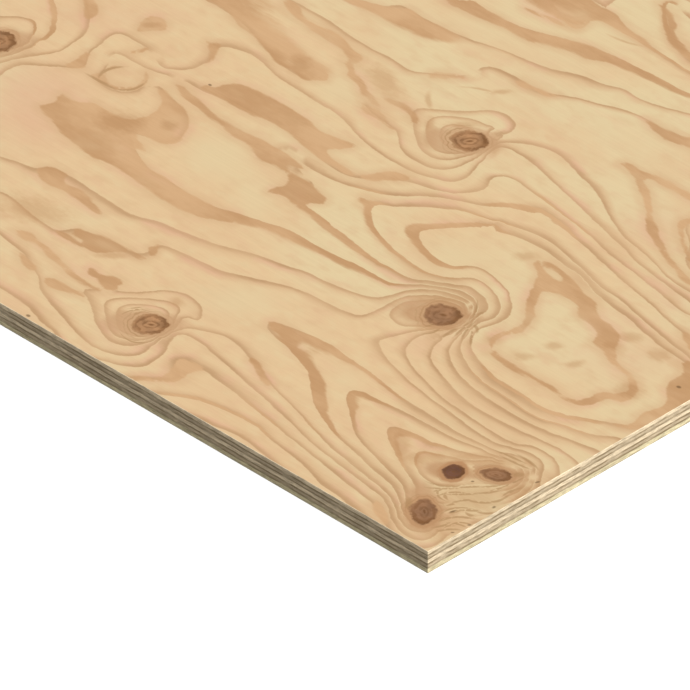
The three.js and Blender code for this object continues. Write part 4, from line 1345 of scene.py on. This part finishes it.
def figured_finish(name, colours, figure):
    """Sanded veneer: plain wood in clouds of colour, then rings and patches, knots and small marks."""
    material, wires, position = new_material(name)
    groups = shared_groups()

    def spot(attribute, softness):
        """Where the streaks, smudges or flecks of an attribute lie."""
        place = wires.attribute(attribute, "Vector")
        return wires.group(groups["Spot"], Place=place, Position=position, Softness=softness)["Inside"]

    rings = wires.group(
        groups["Growth Rings"], Position=position, Ring=wires.attribute("ring"),
        Slope=wires.attribute("ring_slope"), Broad_Band=wires.attribute("broad_band"),
        Share=wires.attribute("line_share"), Line_Width=figure.line_width, Waver=figure.line_waver,
    )
    patch = wires.group(groups["Patch"], Depth=wires.attribute("patch_depth"), Position=position)
    knot_place = wires.attribute("knot_place", "Vector")
    knot = wires.group(groups["Knot"], Place=knot_place, Position=position)
    fibres = wires.group(groups["Fibres"], Position=position, Waves=FIBRES_ALONG)["Fibres"]

    x, y, _ = wires.split(position)
    drift = wires.maths("SINE", (x + y - CORNER_DIAGONAL) * math.tau) * 0.17
    straw = wires.noise(position, (4.0, 9.0, 4.0), detail=1.0) + drift
    wood = wires.mix(straw.rise(0.36, 0.62), colours.earlywood, colours.straw)
    blush = wires.noise(position, (9.0, 18.0, 9.0), detail=3.0)
    wood = wires.mix(blush.rise(0.44, 0.68, 0.0, 0.7), wood, colours.blush)
    mottle = wires.noise(position, (55.0, 110.0, 55.0), detail=3.0)
    wood = wires.mix(mottle.rise(0.45, 0.75, 0.0, 0.35), wood, colours.fringe)
    hue = wires.noise(position, (64.0, 100.0, 64.0), detail=3.0)
    wood = wires.mix(hue.rise(0.5, 0.7, 0.0, 0.16), wood, colours.flush)
    wood = wires.mix(hue.fall(0.3, 0.5, 0.35), wood, colours.straw)
    warmth = wires.attribute("warmth")
    wood = wires.mix(warmth.rise(0.0, 1.0, 0.0, 0.6), wood, colours.flush)
    wood = wires.mix(warmth.rise(0.0, -1.0, 0.0, 0.8), wood, colours.straw)

    flush = wires.noise(position, (24.0, 40.0, 24.0))
    warm = wires.mix(flush.rise(0.5, 0.68), colours.fringe, colours.flush)
    wood = wires.mix(rings["Fringe"] * 0.75, wood, warm)
    wood = wires.mix(patch["Stain"] * 0.5, wood, warm)
    pressed = wires.noise(position, (26.0, 60.0, 26.0))
    wood = wires.mix(rings["Line"] * pressed.rise(0.36, 0.6, 0.76), wood, colours.line)
    smudge = spot("smudge_place", 0.7)
    tint = wires.noise(position, (10.0, 24.0, 10.0), detail=5.0, roughness=0.6)
    depth = wires.maths("MAXIMUM", tint.rise(0.36, 0.64), smudge)
    latewood = wires.mix(depth, colours.latewood, colours.deep_latewood)
    broad = wires.maths("MAXIMUM", rings["Band"], patch["Patch"])
    wood = wires.mix(broad * 0.92, wood, latewood)
    wood = wires.mix(smudge * 0.5, wood, latewood)

    *_, dark = wires.split(knot_place)
    heart = wires.mix(dark, colours.knot, colours.dark_knot)
    marks = knot["Heart"].rise(0.0, 0.8) * dark.rise(0.1, 0.5, 0.5, 0.35)
    for share in (marks, knot["Rim"] * 0.75, knot["Pith"] * 0.6):
        heart = wires.mix(share, heart, colours.knot_rim)
    uneven = wires.noise(position, (110.0, 110.0, 110.0))
    heart = wires.shaded(heart, uneven.rise(0.36, 0.64, 0.88, 1.1))
    stain = wires.mix(dark * 0.7, colours.knot_halo, colours.knot)
    wood = wires.mix(knot["Halo"] * 0.8, wood, stain)
    wood = wires.mix(knot["Halo Rings"] * 0.7, wood, colours.streak)
    wood = wires.mix(knot["Collar"] * dark, wood, colours.knot)
    wood = wires.mix(spot("streak_place", 0.5) * 0.68, wood, colours.streak)
    wood = wires.mix(knot["Core"], wood, heart)
    wood = wires.mix(spot("fleck_place", 0.5) * 0.7, wood, colours.fleck)

    height = rings["Line"] * 0.5 + fibres
    bump = {"Height": height, "Strength": 0.25, "Distance": FIBRE_RELIEF}
    wires.surface(
        Base_Color=wires.shaded(wood, fibres.rise(0.2, 0.8, 0.97, 1.025)),
        Roughness=fibres.rise(0.2, 0.8, 0.66, 0.58),
        Specular_IOR_Level=0.25,
        Normal=wires.value("ShaderNodeBump", bump, "Normal"),
    )
    return material


def sawn_finish(name, wood, colours, fibre_waves, ply, streak):
    """A ply's sawn edge: torn fibres, latewood streaks, dark dashes, and glue at the joints.

    Along the sheet's sides the glue shows more below each joint, and at its ends above it. Along the foot of
    the back ply the same glue colour is laid as painted shade, where the sheet meets the floor.
    """
    material, wires, position = new_material(name)
    low, high = PLY_BOX[ply]
    fibres = wires.group(shared_groups()["Fibres"], Position=position, Waves=fibre_waves)["Fibres"]
    streaks = wires.noise(position, (70.0, 70.0, 820.0), roughness=0.6)
    torn = wires.noise(position, (150.0, 150.0, 760.0), detail=3.0, roughness=0.6)
    dashes = wires.noise(position, (95.0, 95.0, 1250.0), detail=1.0)
    clouds = wires.noise(position, (12.0, 12.0, 12.0))
    tone = wires.mix(streaks.rise(0.48, 0.66, 0.0, streak), wood, colours.streak)
    tone = wires.shaded(tone, torn.rise(0.34, 0.66, 0.8, 1.16))
    tone = wires.shaded(tone, streaks.rise(0.30, 0.48, 1.07, 1.0))
    tone = wires.shaded(tone, clouds.rise(0.35, 0.65, 0.96, 1.04))
    tone = wires.mix(dashes.rise(0.61, 0.69, 0.0, 0.5), tone, colours.glue)

    x, _, z = wires.split(position)
    strayed = wires.noise(position, (60.0, 60.0, 20.0), detail=3.0, roughness=0.6)
    height = z + strayed.stray(1.6 * MM)
    broken = wires.noise(position, (55.0, 55.0, 90.0)).rise(0.36, 0.58, 0.3)
    at_end = wires.maths("ABSOLUTE", x).rise(SHEET_HIGH.x - 1.0 * MM, SHEET_HIGH.x - 0.2 * MM)
    # Glue smears at the joints, and on the back ply painted shade along the foot of its edge.
    glue_smears_and_foot_shade = []
    if ply != PLIES[0]:
        side, end, border = GLUE_ABOVE
        reach = at_end.rise(0.0, 1.0, low.z + side, low.z + end)
        glue_smears_and_foot_shade.append(height.fall(reach - border, reach, 0.95))
    if ply != PLIES[-1]:
        side, end, border = GLUE_BELOW
        reach = at_end.rise(0.0, 1.0, high.z - side, high.z - end)
        glue_smears_and_foot_shade.append(height.rise(reach, reach + border, 0.0, 0.8))
    # Painted shade: the foot of the back ply's edge, where the sheet sits on the floor, darkened with the
    # glue colour.
    if ply == PLIES[0]:
        glue_smears_and_foot_shade.append(height.fall(low.z + 0.3 * MM, low.z + 1.2 * MM, 0.7))
    for smear in glue_smears_and_foot_shade:
        tone = wires.mix(smear * broken, tone, colours.glue)
    bump = {"Height": torn, "Strength": 0.35, "Distance": TORN_RELIEF}
    wires.surface(
        Base_Color=tone,
        Roughness=fibres.rise(0.2, 0.8, 0.78, 0.9),
        Specular_IOR_Level=0.2,
        Normal=wires.value("ShaderNodeBump", bump, "Normal"),
    )
    return material


# ---------------------------------------------------------------------------------------------
# Operators
# ---------------------------------------------------------------------------------------------


@functools.cache
def shared_map():
    """The ring map, bent once for both faces."""
    return RingMap()


def make_outer(scene, side, facing, glue_line, lengths, seed, steps, edge, streak):
    """Makes the face or the back veneer, both peeled from the same log."""
    figure = scene.plywood_figure
    node, slot = side + "_ply", side + "_veneer"
    finishes = [
        figured_finish("sanded_" + side, scene.plywood_colours, figure),
        sawn_finish(side + "_edge", edge, scene.plywood_edges, FIBRES_ALONG, node, streak),
    ]
    lines = grid_lines(figure.near_length, figure.near_width, *steps)
    sheet = SheetFigure(shared_map(), lengths, seed)
    outer_veneer(slot, node, sheet, facing, glue_line, lines, finishes)


class PLYWOOD_OT_face(bpy.types.Operator):
    """Makes the face veneer with its knots and growth rings"""

    bl_idname = "plywood.face"
    bl_label = "Face Veneer"

    def execute(self, context):
        figure, edges = context.scene.plywood_figure, context.scene.plywood_edges
        steps = figure.near_step, figure.far_step
        make_outer(context.scene, "face", 1.0, 3, FACE_LENGTHS, 11, steps, edges.pale_edge, streak=0.2)
        return {"FINISHED"}


class PLYWOOD_OT_back(bpy.types.Operator):
    """Makes the back veneer, peeled from the same log"""

    bl_idname = "plywood.back"
    bl_label = "Back Veneer"

    def execute(self, context):
        figure, edges = context.scene.plywood_figure, context.scene.plywood_edges
        steps = figure.back_step, figure.back_step
        make_outer(context.scene, "back", -1.0, 0, BACK_LENGTHS, 23, steps, edges.back_edge, streak=0.3)
        return {"FINISHED"}


class PLYWOOD_OT_inner(bpy.types.Operator):
    """Makes the two crossbands and the centre ply between them"""

    bl_idname = "plywood.inner"
    bl_label = "Inner Veneers"

    def execute(self, context):
        figure, edges = context.scene.plywood_figure, context.scene.plywood_edges
        lines = grid_lines(figure.rim_reach, figure.rim_reach, figure.rim_step, figure.far_step)
        inner = (
            ("lower_crossband", "crossband_veneer", edges.crossband, FIBRES_ACROSS, 0.42),
            ("centre_ply", "centre_veneer", edges.pale_edge, FIBRES_ALONG, 0.3),
            ("upper_crossband", "crossband_veneer", edges.crossband, FIBRES_ACROSS, 0.42),
        )
        for number, (node, slot, wood, fibre_waves, streak) in enumerate(inner):
            finish = sawn_finish(node + "_edge", wood, edges, fibre_waves, node, streak)
            inner_veneer(node + "_veneer", node, (number, number + 1), lines, finish)
        return {"FINISHED"}


# The camera looks down on the near corner through a very long lens, so that the sheet's edges stay
# parallel. Its aim is given from that corner, to the right and up in the picture's plane.
VIEW_AZIMUTH = math.radians(45.1463)
VIEW_ELEVATION = math.radians(35.0363)
AIM_RIGHT, AIM_UP = -0.054995, 0.136975
FIELD_WIDTH = 0.457564
SENSOR = 36.0
LENS = 45.0 * SENSOR
CLIP = (1.0, 60.0)

KEY_FROM = (0.76, -0.10, 0.64)  # the direction that the main lamp shines from
KEY_WIDTH = math.radians(24.0)  # wide enough for soft shadows
WHITE = (1.0, 1.0, 1.0)
FLOOR_WHITE = (0.9, 0.9, 0.9)  # the floor as the camera sees it, before its own glow
FLOOR_GLOW = 0.3


class PLYWOOD_OT_stage(bpy.types.Operator):
    """Sets up the floor, the lamp, the sky and the camera"""

    bl_idname = "plywood.stage"
    bl_label = "Studio"

    def execute(self, context):
        stage = context.scene.plywood_stage
        self.make_floor(stage)
        self.make_sky(context.scene, stage)
        self.make_lamp(stage)
        self.make_camera(context.scene)
        context.scene.view_settings.view_transform = "Standard"
        return {"FINISHED"}

    def make_floor(self, stage):
        """A level floor that the camera sees as white, with the sheet's shadow kept."""
        half = stage.floor_size / 2
        mesh = bpy.data.meshes.new("floor")
        corners = [(-half, -half, 0.0), (half, -half, 0.0), (half, half, 0.0), (-half, half, 0.0)]
        mesh.from_pydata(corners, [], [(0, 1, 2, 3)])
        floor = bpy.data.objects.new("floor", mesh)
        bpy.context.scene.collection.objects.link(floor)
        material = bpy.data.materials.new("floor_white")
        material.use_nodes = True
        material.node_tree.nodes.clear()
        wires = Wiring(material.node_tree)
        seen = wires.ray_is("Is Camera Ray", "Is Glossy Ray", "Is Transmission Ray")
        lit = wires.value("ShaderNodeBsdfDiffuse", {"Color": stage.floor})
        white = wires.value("ShaderNodeBsdfDiffuse", {"Color": FLOOR_WHITE})
        glow = wires.value("ShaderNodeEmission", {"Color": WHITE, "Strength": FLOOR_GLOW})
        both = wires.value("ShaderNodeAddShader", {0: white, 1: glow})
        mixed = wires.value("ShaderNodeMixShader", {0: seen, 1: lit, 2: both})
        wires.node("ShaderNodeOutputMaterial", {"Surface": mixed})
        mesh.materials.append(material)

    def make_sky(self, scene, stage):
        """Even light from all round, seen as white."""
        world = bpy.data.worlds.new("studio")
        world.use_nodes = True
        world.node_tree.nodes.clear()
        wires = Wiring(world.node_tree)
        seen = wires.ray_is("Is Camera Ray", "Is Transmission Ray")
        light = wires.value("ShaderNodeBackground", {"Color": WHITE, "Strength": stage.sky_strength})
        white = wires.value("ShaderNodeBackground", {"Color": WHITE, "Strength": 1.0})
        mixed = wires.value("ShaderNodeMixShader", {0: seen, 1: light, 2: white})
        wires.node("ShaderNodeOutputWorld", {"Surface": mixed})
        scene.world = world

    def make_lamp(self, stage):
        """The main lamp, as distant as the sun."""
        data = bpy.data.lights.new("key_lamp", "SUN")
        data.energy = stage.key_strength
        data.angle = KEY_WIDTH
        lamp = bpy.data.objects.new("key_lamp", data)
        lamp.rotation_mode = "QUATERNION"
        lamp.rotation_quaternion = Vector(KEY_FROM).to_track_quat("Z", "Y")
        bpy.context.scene.collection.objects.link(lamp)

    def make_camera(self, scene):
        """The camera at its azimuth and elevation, as far off as the lens and the field ask."""
        data = bpy.data.cameras.new("camera")
        data.lens = LENS
        data.sensor_width = SENSOR
        data.clip_start, data.clip_end = CLIP
        camera = bpy.data.objects.new("camera", data)
        back = Vector((
            math.sin(VIEW_AZIMUTH) * math.cos(VIEW_ELEVATION),
            -math.cos(VIEW_AZIMUTH) * math.cos(VIEW_ELEVATION),
            math.sin(VIEW_ELEVATION),
        ))
        turn = back.to_track_quat("Z", "Y")
        near_corner = Vector((SHEET_HIGH.x, SHEET_LOW.y, SHEET_HIGH.z))
        aim = near_corner + turn @ Vector((AIM_RIGHT, AIM_UP, 0.0))
        camera.rotation_mode = "QUATERNION"
        camera.rotation_quaternion = turn
        camera.location = aim + back * (FIELD_WIDTH * LENS / SENSOR)
        scene.collection.objects.link(camera)
        scene.camera = camera


# ---------------------------------------------------------------------------------------------
# Panel and registration
# ---------------------------------------------------------------------------------------------


class PLYWOOD_PT_sheet(bpy.types.Panel):
    """Steps and settings of the plywood sheet"""

    bl_label = "Plywood Sheet"
    bl_idname = "PLYWOOD_PT_sheet"
    bl_space_type = "VIEW_3D"
    bl_region_type = "UI"
    bl_category = "Plywood"

    def draw(self, context):
        for step in STEPS:
            self.layout.operator(step.bl_idname)
        for name in SETTINGS:
            box = self.layout.box()
            settings = getattr(context.scene, name)
            for label in settings.bl_rna.properties.keys():
                if label not in {"rna_type", "name"}:
                    box.prop(settings, label)


STEPS = (PLYWOOD_OT_face, PLYWOOD_OT_back, PLYWOOD_OT_inner, PLYWOOD_OT_stage)
SETTINGS = {
    "plywood_figure": FigureSettings,
    "plywood_colours": VeneerColours,
    "plywood_edges": EdgeColours,
    "plywood_stage": StageSettings,
}


def register():
    """Adds the settings, the operators and the panel."""
    for kind in (*SETTINGS.values(), *STEPS, PLYWOOD_PT_sheet):
        bpy.utils.register_class(kind)
    for name, kind in SETTINGS.items():
        setattr(bpy.types.Scene, name, PointerProperty(type=kind))


def unregister():
    """Takes away what register added."""
    for name in SETTINGS:
        delattr(bpy.types.Scene, name)
    for kind in (PLYWOOD_PT_sheet, *reversed(STEPS), *reversed(tuple(SETTINGS.values()))):
        bpy.utils.unregister_class(kind)


def main():
    register()
    bpy.ops.plywood.face()
    bpy.ops.plywood.back()
    bpy.ops.plywood.inner()
    bpy.ops.plywood.stage()


if __name__ == "__main__":
    main()
